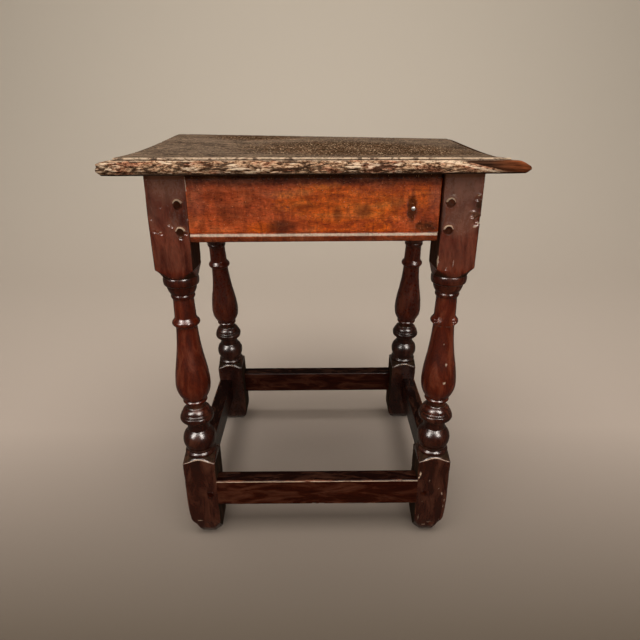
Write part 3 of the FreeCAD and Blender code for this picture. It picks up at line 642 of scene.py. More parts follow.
def make_rails():
    """The aprons and the stretchers."""
    shoulder = SPACING / 2 - HALF + SHOULDER_IN
    for kind, first_seed in (("apron", 300), ("stretcher", 500)):
        for number, (name, side) in enumerate(ROWS + HANDS):
            node = f"{name}_{kind}"
            if name in ("front", "back"):
                ends = FRONT_APRON_ENDS if node == "front_apron" else (-shoulder, shoulder)
                surface, place = long_rail(kind, ends)
                placing, material = in_frame(side, 0.0), RAIL_WOODS[kind, "X"]
            else:
                surface, place = side_rail(kind, side)
                placing, material = None, RAIL_WOODS[kind, "Y"]
            second = (RAIL_WOODS["grimy and shaded apron", "X"], "grime") if node == "front_apron" else None
            details = {**PLAIN_RAIL, **RAIL_MARKS_SHADE_AND_HIGHLIGHTS.get(node, {}), **place, "seed": first_seed + 40 * number}
            new_piece(node, surface, material, rail_shape(details), placing, second)


# The pegs and the nail

PEG_SUNK = 9.0  # how far down a peg's side its surface goes
PEG_POINTS = 28  # round a peg
# A peg's end: its radius, how proud it stands, its rim's radius and how deep it is dished
PLAIN_PEG = (4.6, 0.5, 0.9, 0.3)
SPLAYED_PEG = (5.9, 2.4, 2.6, 0.35)
SEAT_PEG = (4.5, -0.1, 0.4, 0.3)
NAIL = (2.5, 1.0, 0.9, -0.3)
NAIL_AT = (114.0, -HALF, level(HEAD, -HALF) - 43.0)
UPPER_PEG_DOWN, LOWER_PEG_UP = 36.5, 12.3  # an apron's pegs, from its top and from its lower edge
STRETCHER_PEG_DOWN = 2.8  # from the middle of the stretcher
SIDE_PEGS_UP = 10.0  # the side rails' pegs lie higher up the leg than the front and back ones


def peg_rings(radius, proud, rim, dish):
    """Rings of a round peg's end: its side, its rounded rim and its face, dished or (below 0) domed."""
    turn = np.arange(PEG_POINTS) * math.tau / PEG_POINTS
    flat = radius - rim
    outline = [(radius, proud - PEG_SUNK), (radius, proud - rim - 0.4)]
    for angle in np.linspace(0, math.pi / 2, 7):
        outline.append((flat + rim * math.cos(angle), proud - rim + rim * math.sin(angle)))
    outline += [(flat * share, proud - dish * (1 - share**2)) for share in (0.85, 0.65, 0.45, 0.25, 0.08)]
    reach, height = np.array(outline)[:, :, None].transpose(1, 0, 2)
    return np.stack([reach * np.cos(turn), reach * np.sin(turn), height + 0 * turn], axis=-1)


def peg_end(radius, proud, rim, dish, seed):
    """A hand-cut peg's end, drawn upright about its own axis: a little out of round."""
    rings = peg_rings(radius, proud, rim, dish)
    flat = rings.reshape(-1, 3)
    flat[:, :2] *= (1 + 0.07 * noise(flat * (1, 1, 0), 3.0, seed))[:, None]
    flat[:, 2] += np.where(flat[:, 2] > proud - 2, 0.2 * layered(flat, 2.2, seed + 1), 0)
    return tube(flat.reshape(rings.shape))


def facing(points, place, normal):
    """Turns upright pieces so that their axis lies along normal, at a place."""
    turned = Vector((0, 0, 1)).rotation_difference(Vector(normal)).to_matrix()
    return points @ np.array(turned).T + np.array(place)


def peg_shape(seed, axis, bare=0.3):
    """Roughened ends, with a painted highlight along the upper rim and dirt in the middle; axis is the way
    the pegs run.
    """

    def shape(points, normals):
        rim = 1 - rising(abs(normals[:, axis]), 0.89, 0.965)
        none = np.zeros(len(points))
        masks = {
            "wear": none,
            "grime": (0.55 - 0.4 * rim) * bare,
            "dust": 0.3 * rim * bare,
            # Painted highlight on the upper part of the rim.
            "raw": bare * rim * rising(normals[:, 2], 0.02, 0.25),
            "shade": none + 0.8 * (1 - bare),
        }
        return 0.1 * layered(points, 1.6, seed), masks

    return shape


def peg_heights(kind, face):
    """How high the pegs of a rail lie up the leg: face is -1 on its outer face, 1 on a side one."""
    if kind == "stretcher":
        heights = [level(STRETCHER_LIFT, face * HALF) + STRETCHER_DEPTH / 2 - STRETCHER_PEG_DOWN]
    else:
        top = level(HEAD, face * HALF)
        heights = [top - UPPER_PEG_DOWN, top - APRON_DEPTH + LOWER_PEG_UP]
    return [height + (SIDE_PEGS_UP if face == 1 else 0.0) for height in heights]


def make_pegs():
    """The pegs of the aprons and of the stretchers, those of one rail as one piece."""
    for kind, bare in (("apron", 1.0), ("stretcher", 0.0)):
        for name, side in ROWS:
            end_sizes = SPLAYED_PEG if (name, kind) == ("front", "apron") else PLAIN_PEG
            pegs = []
            for height in peg_heights(kind, -1):
                for hand in (-1, 1):
                    leg = f"{name}_{'right' if hand * -side > 0 else 'left'}_leg"
                    points, faces = peg_end(*end_sizes, int(height) + 7 * hand)
                    place = (hand * (SPACING / 2 - PEG_ACROSS + bowed(leg, height)), -HALF, height)
                    pegs.append((facing(points, place, (0, -1, 0)), faces))
            shape, placing = peg_shape(60, 1, bare), in_frame(side, 0.0)
            new_piece(f"{name}_{kind}_pegs", joined(pegs), PEG_WOOD, shape, placing)
        for name, side in HANDS:
            pegs = []
            for height in peg_heights(kind, 1):
                for end in (-1, 1):
                    leg = f"{'back' if end > 0 else 'front'}_{name}_leg"
                    points, faces = peg_end(*PLAIN_PEG, int(height) + 3 * end)
                    x = side * (SPACING / 2 + HALF + bowed(leg, height))
                    y = end * (SPREAD / 2 - PEG_ACROSS * COS - height * SIN)
                    place = (x, y, height * COS - PEG_ACROSS * SIN)
                    pegs.append((facing(points, place, (side, 0, 0)), faces))
            new_piece(f"{name}_{kind}_pegs", joined(pegs), PEG_WOOD, peg_shape(70, 0))


def make_nail():
    """The old nail in the front apron."""
    points, faces = peg_end(*NAIL, 5)
    surface = facing(points, NAIL_AT, (0, -1, 0)), faces
    new_piece("front_apron_nail", surface, IRON, peg_shape(80, 1), in_frame(-1, 0.0))


# The seat. How far its top is worn down, as (x, y, depth) at places spread over it.

WORN = [
    (-214, -147, 2.6), (-70, -147, 3.4), (70, -147, 4.4), (214, -147, 5.4),
    (-214, -75, 4.9), (0, -75, 7.0), (130, -75, 8.2), (214, -75, 11.0),
    (-214, 10, 2.6), (-60, 10, 6.0), (90, 10, 8.4), (214, 10, 12.6),
    (-214, 147, 0.4), (-70, 147, 2.6), (70, 147, 7.2), (214, 147, 9.6),
]
SEAT_HALF = (SEAT_HIGH - SEAT_LOW)[:2] / 2
STEP_IN, STEP, QUIRK = 16.0, 3.3, 2.4
SEAT_RING_STEP = 1.6


def curved_terms(x, y):
    """The terms of a surface that bends both ways."""
    x, y = x / 230.0, y / 163.0
    terms = [x**0, x, y, x * x, x * y, y * y, x * x * y, x * y * y, x**3, y**3, x * x * y * y]
    return np.stack(terms, axis=-1)


WORN_X, WORN_Y, WORN_DEPTH = np.array(WORN, float).T
WORN_TERMS = np.linalg.lstsq(curved_terms(WORN_X, WORN_Y), WORN_DEPTH, rcond=None)[0]
LEAST_WORN, MOST_WORN = 0.3, 14.0


def seat_profile():
    """The edge moulding as (in from the edge, up from the underside), from below to the top."""
    thick = SEAT_THICK
    corners = [
        (3.6, 0.0), (0.3, 6.0, 1.2, 1.9), (14.6, thick - STEP, 4.2, 13.4), (15.2, thick - STEP - 0.7),
        (16.0, thick - STEP - QUIRK), (16.2, thick - 0.8), (17.0, thick, 16.4, thick - 0.2),
    ]
    return path(corners, 0.7)


def seat_ring(inset, up, along, sideways):
    """One closed ring round the seat, in from its edge; along and sideways run from -1 to 1."""
    half_x, half_y = SEAT_HALF[0] - inset, SEAT_HALF[1] - inset
    ring = [(x * half_x, -half_y) for x in along[:-1]] + [(half_x, y * half_y) for y in sideways[:-1]]
    ring += [(-x * half_x, half_y) for x in along[:-1]] + [(-half_x, -y * half_y) for y in sideways[:-1]]
    return np.column_stack([np.array(ring), np.full(len(ring), up)])


CORNER_CUT, CORNER_ROUND, CORNER_REACH = 1.0, 2.4, 22.0
FULL_LEFT, FULL_REACH = 4.0, 34.0  # the left corners' mouldings are fuller
SHY = 0.25  # how far the seat's ends stay within its box
UNDER_RINGS = (130, 90, 60, 36, 20, 12, 8, 5)  # in from the edge, on the underside
LEFT_RUN, RIGHT_RUN = 7.0, 3.3  # how far the fillet runs out of line with the edge: back left, front right


def seat_surface():
    """Rings from the middle of the underside, round the edge and over the top to its middle.

    Also gives each point's place on the moulding: in from the edge and up from the underside.
    """
    long_half, short_half = SEAT_HALF
    along = np.linspace(-1, 1, round(2 * long_half / SEAT_RING_STEP))
    sideways = np.linspace(-1, 1, round(2 * short_half / SEAT_RING_STEP))
    profile = seat_profile()
    over = np.arange(profile[-1][0] + 1.2, short_half - 1, SEAT_RING_STEP)
    rings = [(inset, 0.0) for inset in (short_half - 1, *UNDER_RINGS)]
    rings += [tuple(point) for point in profile]
    rings += [(inset, SEAT_THICK) for inset in (*over, short_half - 0.7)]
    points, faces = tube(np.array([seat_ring(inset, up, along, sideways) for inset, up in rings]))
    ring_points = (len(points) - 2) // len(rings)
    inset, up = (np.append(np.repeat(values, ring_points), values[[0, -1]]) for values in np.array(rings).T)
    right = points[:, 0] > 0
    from_corner = (SEAT_HALF - abs(points[:, :2])).sum(axis=1)
    near = np.clip(1 - from_corner / CORNER_REACH, 0, 1)
    rounded = 1 - rising(up, 0.5, 7.0) + rising(up, 9.0, 15.0) * right
    full = np.clip(1 - from_corner / FULL_REACH, 0, 1) * rising(up, 10.0, 15.0) * (up < SEAT_THICK - STEP)
    cut = CORNER_CUT * near**2 + CORNER_ROUND * near * rounded - FULL_LEFT * full * ~right
    points[:, :2] -= np.sign(points[:, :2]) * cut[:, None]
    x, y = np.clip(points[:, 0], SHY - long_half, long_half - SHY), points[:, 1]
    back = (y / short_half + 1) / 2
    share = np.clip(inset / STEP_IN, 0, 1) * (up > 6) * np.clip(2 - inset / STEP_IN / 2, 0, 1)
    run = np.where(right, RIGHT_RUN * (1 - back), LEFT_RUN * back**4)
    points[:, 0] = x - share * run * abs(x) / long_half
    worn = np.clip(curved_terms(points[:, 0], points[:, 1]) @ WORN_TERMS, LEAST_WORN, MOST_WORN)
    points[:, 2] = HEAD + INSIDE + points[:, 2] * (SEAT_THICK - worn - INSIDE) / SEAT_THICK
    return points, faces, inset, up


RUBBED_FROM = 212.0  # from this x, at the underside, the seat's edge is rubbed smooth
SPECKLED = [(60, -20, HEAD + 14, 200, 120, 60, 1.0), (-90, 110, HEAD + 14, 90, 60, 60, 0.8)]


def seat_shape(inset, up):
    """The dry, eroded wood: fine furrows on top and a raw, cracked front edge, with painted shade under the
    edge and in its groove and painted highlights on its ridges and fillet.
    """

    def shape(points, normals):
        x, y = points[:, 0], points[:, 1]
        edge = 1 - rising(inset, 13.5, 15.0)
        front = rising(-y, SEAT_HALF[1] - 15.2, SEAT_HALF[1] - 13.8) * rising(up, 0.3, 2.5)
        climb = x + 4.0 * up + 9 * noise(points, 22, 3) - RUBBED_FROM
        polish = rising(climb, 0, 12)
        flake = peak(climb + 8, 7) * rising(x, 120, 140)
        raw = front * (1 - 0.9 * polish) * edge
        wander = points + np.outer(layered(points, (30, 8, 8), 33, 2), (0, 2.0, 2.0))
        cracks = veins(wander, (26, 4.2, 4.2), 40, 0.03, 0.2, 2)
        fine_cracks = veins(wander, (9, 2.6, 2.6), 44, 0.02, 0.2, 2)
        pits = spots(points, (6, 3.6, 3.6), 50, 0.08, 0.4)
        gone = np.maximum.reduce([0.9 * cracks, 0.6 * fine_cracks, 0.9 * pits])
        swell = layered(points, (22, 7, 7), 60)
        whole = 1 - 0.8 * rising(-x, SEAT_HALF[0] - 14, SEAT_HALF[0] - 4)
        offset = -raw * (0.4 + 1.6 * gone + 0.8 * swell) * whole

        top = rising(inset, 16.0, 17.5)
        rough_top = top * (0.25 + 0.75 * patches(points, SPECKLED, 0.3))
        furrows = veins(points, (30, 2.4, 4.0), 70, 0.02, 0.2)
        offset -= 0.4 * rough_top * (furrows + spots(points, (9, 6, 5), 90, 0.1, 0.5))
        offset -= top * (0.25 * layered(points, (60, 30, 30), 95, 2) + 0.2)
        arris = peak(inset - 16.8, 1.0) * (up > SEAT_THICK - 1.2)
        broken = spots(points, (5, 5, 20), 100, 0.15, 0.5) * (1 - 0.9 * rising(x, 110, 140))
        offset = np.minimum(offset - 0.9 * arris * broken, 0.0)

        # Painted shade in the groove under the fillet and along the underside of the edge.
        groove_shade = rising(inset, 14.4, 15.0) * (inset < 17) * (up < SEAT_THICK - STEP + 1.0)
        below = edge * (1 - rising(up + 0.8 * layered(points, (8, 5, 5), 77, 2), 1.0, 3.6))
        # The fillet's step and the raised fibres are lightened: bare wood with painted highlights.
        step = rising(up - SEAT_THICK + STEP, -0.4, 0.4) * (inset < 18)
        step = step * (0.2 + 0.8 * rising(-y, SEAT_HALF[1] - 21, SEAT_HALF[1] - 17))
        ridges_and_highlights = [raw * rising(swell - gone, -0.3, 0.3), step * (1 - broken), 1.3 * front * edge * flake]
        masks = {
            "raw": np.maximum(raw, 0.8 * step * (1 - 0.8 * broken)),
            "crack": np.maximum.reduce([raw * gone * (1 - flake), groove_shade, 0.85 * below]),
            "ridge": np.maximum.reduce(ridges_and_highlights),
            "speck": rough_top,
            "polish": polish * edge * (1 - groove_shade),
        }
        return offset, masks

    return shape


def seat_peg_shape(points, normals):
    """The end grain of the pegs in the seat, as speckled as the board round them."""
    none = np.zeros(len(points))
    masks = {"raw": none, "crack": none, "ridge": none, "speck": none + 0.5, "polish": none}
    return 0.1 * layered(points, 1.5, 3), masks


def make_seat():
    """The seat board, and the four pegs that hold it down."""
    points, faces, inset, up = seat_surface()
    new_piece("seat_top", (points, faces), SEAT_WOOD, seat_shape(inset, up))
    pegs = []
    for hand in (-1, 1):
        for end in (-1, 1):
            x, y = hand * SPACING / 2, end * (SPREAD / 2 - HEAD * TAN)
            points, faces = peg_end(*SEAT_PEG, 9 * hand + end)
            place = (x, y, HEAD + SEAT_THICK - curved_terms(x, y) @ WORN_TERMS)
            pegs.append((facing(points, place, (0, 0, 1)), faces))
    new_piece("seat_pegs", joined(pegs), SEAT_WOOD, seat_peg_shape)


# Materials

class Surface:
    """A material's node tree, with a short way to add to it."""

    def __init__(self, name):
        self.material = bpy.data.materials.new(name)
        self.material.use_nodes = True
        self.tree = self.material.node_tree
        self.shader = self.tree.nodes["Principled BSDF"]
        self.place = self.add("ShaderNodeTexCoord").outputs["Object"]

    def add(self, kind, inputs=(), **settings):
        node = self.tree.nodes.new(kind)
        for name, value in settings.items():
            setattr(node, name, value)
        for name, value in dict(inputs).items():
            self.feed(node.inputs[name], value)
        return node

    def feed(self, socket, value):
        if isinstance(value, bpy.types.NodeSocket):
            self.tree.links.new(value, socket)
        else:
            socket.default_value = value

    def noise(self, size, detail=3.0, roughness=0.55, distortion=0.0, shift=0.0):
        """Noise from 0 to 1 with a grain of size mm along each axis."""
        mapping = self.add("ShaderNodeMapping", {
            "Vector": self.place,
            "Location": (shift, shift * 0.7, shift * 1.3),
            "Scale": tuple(1 / (length * MM) for length in size),
        })
        texture = self.add("ShaderNodeTexNoise", {
            "Vector": mapping.outputs["Vector"], "Scale": 1.0, "Detail": detail,
            "Roughness": roughness, "Distortion": distortion,
        })
        return texture.outputs["Fac"]

    def ramp(self, factor, *stops):
        """A colour ramp; a stop is (place, colour or grey)."""
        node = self.add("ShaderNodeValToRGB", {"Fac": factor})
        elements = node.color_ramp.elements
        while len(elements) < len(stops):
            elements.new(0.5)
        for element, (place, colour) in zip(elements, stops):
            element.position = place
            colour = (colour,) * 3 if isinstance(colour, (int, float)) else colour
            element.color = (*colour, 1.0)
        return node.outputs["Color"]

    def span(self, value, low, high):
        """0 where a value is low, 1 where it is high and even between."""
        node = self.add("ShaderNodeMapRange", {"Value": value, "From Min": low, "From Max": high})
        return node.outputs["Result"]

    def blend(self, factor, first, second, kind="MIX"):
        """Two colours mixed; a factor of 0 is the first."""
        node = self.add("ShaderNodeMix", data_type="RGBA", blend_type=kind)
        for socket, value in zip((node.inputs[0], node.inputs[6], node.inputs[7]), (factor, first, second)):
            if isinstance(value, tuple):
                value = (*value, 1.0)
            self.feed(socket, value)
        return node.outputs[2]

    def math(self, operation, first, second, clamp=False):
        node = self.add("ShaderNodeMath", operation=operation, use_clamp=clamp)
        self.feed(node.inputs[0], first)
        self.feed(node.inputs[1], second)
        return node.outputs[0]

    def times(self, first, second):
        return self.math("MULTIPLY", first, second)

    def plus(self, *values):
        total = values[0]
        for value in values[1:]:
            total = self.math("ADD", total, value)
        return total

    def covered(self, colour, mask, strength, other):
        """A colour with another laid over it where a mask is."""
        return self.blend(self.times(mask, strength), colour, other)

    def tinted(self, colour, tint):
        """A colour multiplied by another, or by a grey."""
        return self.blend(1.0, colour, tint, "MULTIPLY")

    def varied(self, colour, value, *stops):
        """A colour darkened and lightened by a ramp of greys along a noise."""
        return self.tinted(colour, self.ramp(value, *stops))

    def mask(self, name, broken, low=0.35, high=0.75):
        """A mask of the mesh, broken up by a noise."""
        value = self.add("ShaderNodeAttribute", attribute_name=name).outputs["Fac"]
        pushed = self.plus(value, self.times(self.math("SUBTRACT", broken, 0.5), 1.1))
        return self.span(pushed, low, high)

    def finish(self, colour, roughness, height, bump, depth, gloss):
        """Feeds the shader: a bump of a height, depth mm deep, and a level of specular shine."""
        bumps = self.add("ShaderNodeBump", {"Strength": bump, "Distance": depth * MM, "Height": height})
        self.feed(self.shader.inputs["Normal"], bumps.outputs["Normal"])
        self.feed(self.shader.inputs["Base Color"], colour)
        self.feed(self.shader.inputs["Roughness"], roughness)
        self.shader.inputs["Specular IOR Level"].default_value = gloss
        return self.material


def along(axis, across_size, along_size):
    """Grain sizes (x, y, z) of a wood whose fibres run along an axis."""
    return tuple(along_size if number == "XYZ".index(axis) else across_size for number in range(3))


# Overlaid colours: the bare wood colour also paints highlights, the grime colour paints shade as well as
# dirt, the worn tone also paints highlights and the glint colour paints glints.
BARE_AND_HIGHLIGHT = (0.56, 0.4, 0.28)
GRIME_AND_SHADE = (0.022, 0.013, 0.006)
DUST = (0.25, 0.105, 0.062)
WORN_AND_HIGHLIGHT_TONE = (0.22, 0.07, 0.03)
GLINT_TONE = (0.9, 0.42, 0.16)
SHADED = (0.2, 0.2, 0.22)
GLOSS, DULL_GLOSS, MATTE = 0.35, 0.1, 0.03  # levels of the woods' specular shine


def wood(name, axis, tones, second=None, second_mask="dark", mottling=0.3, painted_glints=False,
         roughness=(0.12, 0.3), gloss=GLOSS, streaking=0.24, bump=0.3, shift=0.0):
    """Old oak: its figure, streaks and pores along an axis, then painted shade, worn spots, dirt, dust and
    bare chips, with painted shade among the dirt, painted highlights among the worn spots and chips, and
    painted glints where asked.

    tones are dark, middle and light; second is another such set, shown where second_mask is.
    """
    s = Surface(name)
    broad = s.noise(along(axis, 14, 50), 3.0, 0.6, 0.8, shift)
    streaks = s.noise(along(axis, 1.6, 26), 3.0, 0.6, 0.3, shift)
    pores = s.noise(along(axis, 0.6, 5), 2.0, 0.5, 0.0, shift)
    mottle = s.noise(along(axis, 3.4, 5.0), 5.0, 0.72, 0.5, shift)
    fine = s.noise((0.9, 0.9, 0.9), 3.0, 0.6, 0.0, shift)
    colour = s.ramp(broad, *zip((0.32, 0.5, 0.68), tones))
    if second:
        other = s.ramp(broad, *zip((0.32, 0.5, 0.68), second))
        colour = s.blend(s.mask(second_mask, mottle, 0.15, 0.85), colour, other)
    colour = s.varied(colour, streaks, (0.32, 1 - streaking), (0.68, 1 + streaking))
    colour = s.varied(colour, pores, (0.33, 0.55), (0.46, 1.0))
    colour = s.varied(colour, mottle, (0.34, 1 - mottling), (0.66, 1 + mottling))
    colour = s.covered(colour, s.mask("shade", mottle, 0.2, 0.9), 0.85, s.tinted(colour, SHADED))
    # Worn edges, and painted highlights on the legs' shoulders and dent rims.
    colour = s.covered(colour, s.mask("wear", fine), 0.8, WORN_AND_HIGHLIGHT_TONE)
    # Grime, and painted shade in the legs' hollows, on their inner faces and along the tops of legs and apron
    # under the seat.
    grime = s.mask("grime", mottle, 0.3, 0.8)
    colour = s.covered(colour, grime, 0.8, GRIME_AND_SHADE)
    dust = s.mask("dust", broad, 0.0, 1.0)
    colour = s.covered(colour, dust, 0.7, DUST)
    # Bare chips and raw patches, and painted highlights on arrises, the legs' shoulders, the apron's bead and
    # the pegs' upper rims.
    bare = s.mask("raw", fine)
    colour = s.blend(bare, colour, BARE_AND_HIGHLIGHT)
    if painted_glints:
        # Tiny bright specks: painted glints of a satin finish.
        bright = s.ramp(s.noise((1.3, 1.3, 1.3), 2.0, 0.6, 0.0, 7.0), (0.69, 0.0), (0.75, 1.0))
        colour = s.blend(bright, colour, GLINT_TONE)
        colour = s.varied(colour, s.noise((9, 9, 26), 1.0, 0.5, 1.5, 5.0), (0.34, 0.74), (0.62, 1.14))
        colour = s.varied(colour, s.noise((1.8, 1.8, 1.5), 2.0, 0.6, 0.0, 2.0), (0.3, 0.45), (0.42, 1.0))
    smooth, dull = roughness
    rough = s.plus(smooth, s.times(mottle, dull - smooth), s.times(dust, 0.05), s.times(grime, 0.08))
    rough = s.math("ADD", rough, s.times(bare, 0.5), clamp=True)
    height = s.plus(s.times(streaks, 0.4), s.times(pores, 0.4), s.times(mottle, 0.7))
    height = s.plus(height, s.times(s.times(bare, fine), 1.5))
    return s.finish(colour, rough, height, bump, 0.4, gloss)


SMOOTH_BOARD = ((0.08, 0.057, 0.041), (0.134, 0.096, 0.069), (0.18, 0.13, 0.096))
ROUGH_BOARD = ((0.037, 0.019, 0.0095), (0.068, 0.037, 0.02), (0.105, 0.061, 0.035))
SPECK = (0.42, 0.3, 0.19)
RUBBED_END, RUBBED_TIP = (0.036, 0.016, 0.009), (0.15, 0.043, 0.016)
TIP_ALONG, TIP_FRONT = (0.185, 0.22), (-0.12, -0.15)  # where the tip's tone begins and is full, in metres
RAW_WOOD = ((0.035, 0.014, 0.007), (0.18, 0.08, 0.04), (0.52, 0.34, 0.21))
RUDDY = (0.95, 0.55, 0.5)
RIDGE_AND_HIGHLIGHT = (0.7, 0.55, 0.4)
CRACK_AND_SHADE = (0.022, 0.011, 0.007)


def seat_wood():
    """Dry, speckled oak: grey-brown on top, raw and cracked at its front edge with painted shade under it and
    painted highlights on its ridges, rubbed dark at one end.
    """
    s = Surface("seat_wood")
    broad = s.noise((70, 40, 30), 3.0, 0.6, 0.6)
    streaks = s.noise((34, 2.6, 2.0), 3.0, 0.6, 0.4)
    mottle = s.noise((6, 8, 4), 5.0, 0.7, 0.5)
    fine = s.noise((1.5, 2.0, 1.0), 4.0, 0.7)
    speckled = s.mask("speck", mottle, 0.1, 0.7)
    smooth_wood, rough_wood = (
        s.ramp(broad, *zip((0.3, 0.55, 0.75), tones)) for tones in (SMOOTH_BOARD, ROUGH_BOARD)
    )
    colour = s.blend(speckled, smooth_wood, rough_wood)
    colour = s.varied(colour, streaks, (0.32, 0.36), (0.68, 1.6))
    colour = s.varied(colour, mottle, (0.34, 0.36), (0.66, 1.8))
    specks = s.ramp(s.noise((2.6, 5.0, 2.0), 3.0, 0.7, 0.0, 3.0), (0.57, 0.0), (0.63, 1.0))
    colour = s.blend(s.times(s.plus(s.times(speckled, 0.75), 0.2), specks), colour, SPECK)
    pores = s.noise((2.4, 4.0, 2.0), 2.0, 0.6, 0.0, 9.0)
    colour = s.blend(speckled, colour, s.varied(colour, pores, (0.36, 0.3), (0.44, 1.0)))

    place = s.add("ShaderNodeSeparateXYZ", {"Vector": s.place}).outputs
    tip = s.times(s.span(place["X"], *TIP_ALONG), s.span(place["Y"], *TIP_FRONT))
    polish = s.mask("polish", mottle)
    rubbed = s.varied(s.blend(tip, RUBBED_END, RUBBED_TIP), streaks, (0.35, 0.25), (0.65, 1.6))
    colour = s.blend(polish, colour, rubbed)

    flakes = s.noise((5, 1.8, 1.8), 4.0, 0.75, 0.4)
    bare = s.ramp(flakes, *zip((0.37, 0.46, 0.55), RAW_WOOD))
    ruddy = s.ramp(s.noise((26, 9, 9), 3.0, 0.6, 0.0, 6.0), (0.5, 0.0), (0.62, 0.65))
    bare = s.blend(ruddy, bare, s.tinted(bare, RUDDY))
    colour = s.blend(s.mask("raw", fine, 0.3, 0.6), colour, bare)
    # Raised ridges and the fillet's step: raw wood with painted highlights.
    ridge = s.times(s.mask("ridge", fine, 0.3, 0.9), s.ramp(flakes, (0.34, 0.0), (0.5, 1.0)))
    colour = s.covered(colour, ridge, 0.8, RIDGE_AND_HIGHLIGHT)
    # Cracks, and painted shade in the groove and under the edge.
    colour = s.covered(colour, s.mask("crack", fine, 0.25, 0.8), 0.9, CRACK_AND_SHADE)
    rough = s.math("SUBTRACT", s.plus(0.75, s.times(mottle, 0.25)), s.times(polish, 0.6))
    height = s.plus(s.times(streaks, 0.6), s.times(fine, 0.6), s.times(mottle, 0.8))
    return s.finish(colour, rough, height, 0.7, 0.7, 0.0)


def old_iron():
    """Dark wrought iron, its grain mottled lighter and darker."""
    s = Surface("nail_iron")
    grain = s.noise((1.2, 1.2, 1.2), 4.0, 0.7)
    s.shader.inputs["Metallic"].default_value = 0.85
    colour = s.ramp(grain, (0.35, (0.12, 0.1, 0.085)), (0.65, (0.5, 0.47, 0.43)))
    return s.finish(colour, s.ramp(grain, (0.3, 0.55), (0.7, 0.28)), grain, 0.5, 0.3, 0.5)


def floor_material():
    """A plain light floor, darkened towards the front by painted shade."""
    s = Surface("floor")
    place = s.add("ShaderNodeSeparateXYZ", {"Vector": s.place}).outputs["Y"]
    s.feed(s.shader.inputs["Base Color"], s.ramp(s.span(place, -FLOOR_FRONT, WALL_BACK), *FLOOR_SHADES))
    s.shader.inputs["Roughness"].default_value = 0.8
    s.shader.inputs["Specular IOR Level"].default_value = 0.0
    return s.material


DARK_TONES = ((0.019, 0.003, 0.0009), (0.028, 0.0044, 0.0013), (0.042, 0.0072, 0.002))
LEG_TONES = ((0.065, 0.0068, 0.001), (0.12, 0.0125, 0.0018), (0.19, 0.0245, 0.004))
PEG_TONES = ((0.03, 0.0045, 0.0012), (0.05, 0.0075, 0.002), (0.08, 0.013, 0.0035))
RED_TONES = ((0.31, 0.04, 0.006), (0.49, 0.075, 0.011), (0.65, 0.122, 0.019))
AMBER_TONES = ((0.38, 0.048, 0.0012), (0.64, 0.104, 0.0016), (0.88, 0.2, 0.005))
AGED = {"second": DARK_TONES, "mottling": 0.14, "streaking": 0.14}
GRIMY_AND_SHADED = {"roughness": (0.7, 0.85), "gloss": MATTE}
LEG_WOOD = wood("leg_wood", "Z", LEG_TONES, **AGED, roughness=(0.17, 0.3))
BACK_LEG_WOOD = wood("back_leg_wood", "Z", LEG_TONES, **AGED, roughness=(0.22, 0.34))
DULL_LEG_WOOD = wood("dull_leg_wood", "Z", LEG_TONES, **AGED, **GRIMY_AND_SHADED)
AMBER = {"second": AMBER_TONES, "second_mask": "glow", "painted_glints": True}
FRONT_AMBER = {**AMBER, "mottling": 0.34, "streaking": 0.1}
DARK = {"mottling": 0.15, "gloss": DULL_GLOSS}
RAIL_WOODS = {
    ("apron", "X"): wood("apron_wood", "X", RED_TONES, **FRONT_AMBER),
    ("apron", "Y"): wood("side_apron_wood", "Y", RED_TONES, **AMBER, mottling=0.35, shift=4.0),
    ("grimy and shaded apron", "X"): wood("dull_apron_wood", "X", RED_TONES, **FRONT_AMBER, **GRIMY_AND_SHADED),
    ("stretcher", "X"): wood("stretcher_wood", "X", DARK_TONES, **DARK, shift=8.0),
    ("stretcher", "Y"): wood("side_stretcher_wood", "Y", DARK_TONES, **DARK, shift=12.0),
}
PEG_WOOD = wood("peg_wood", "Y", PEG_TONES, mottling=0.14, gloss=MATTE, bump=0.5)
SEAT_WOOD = seat_wood()
IRON = old_iron()


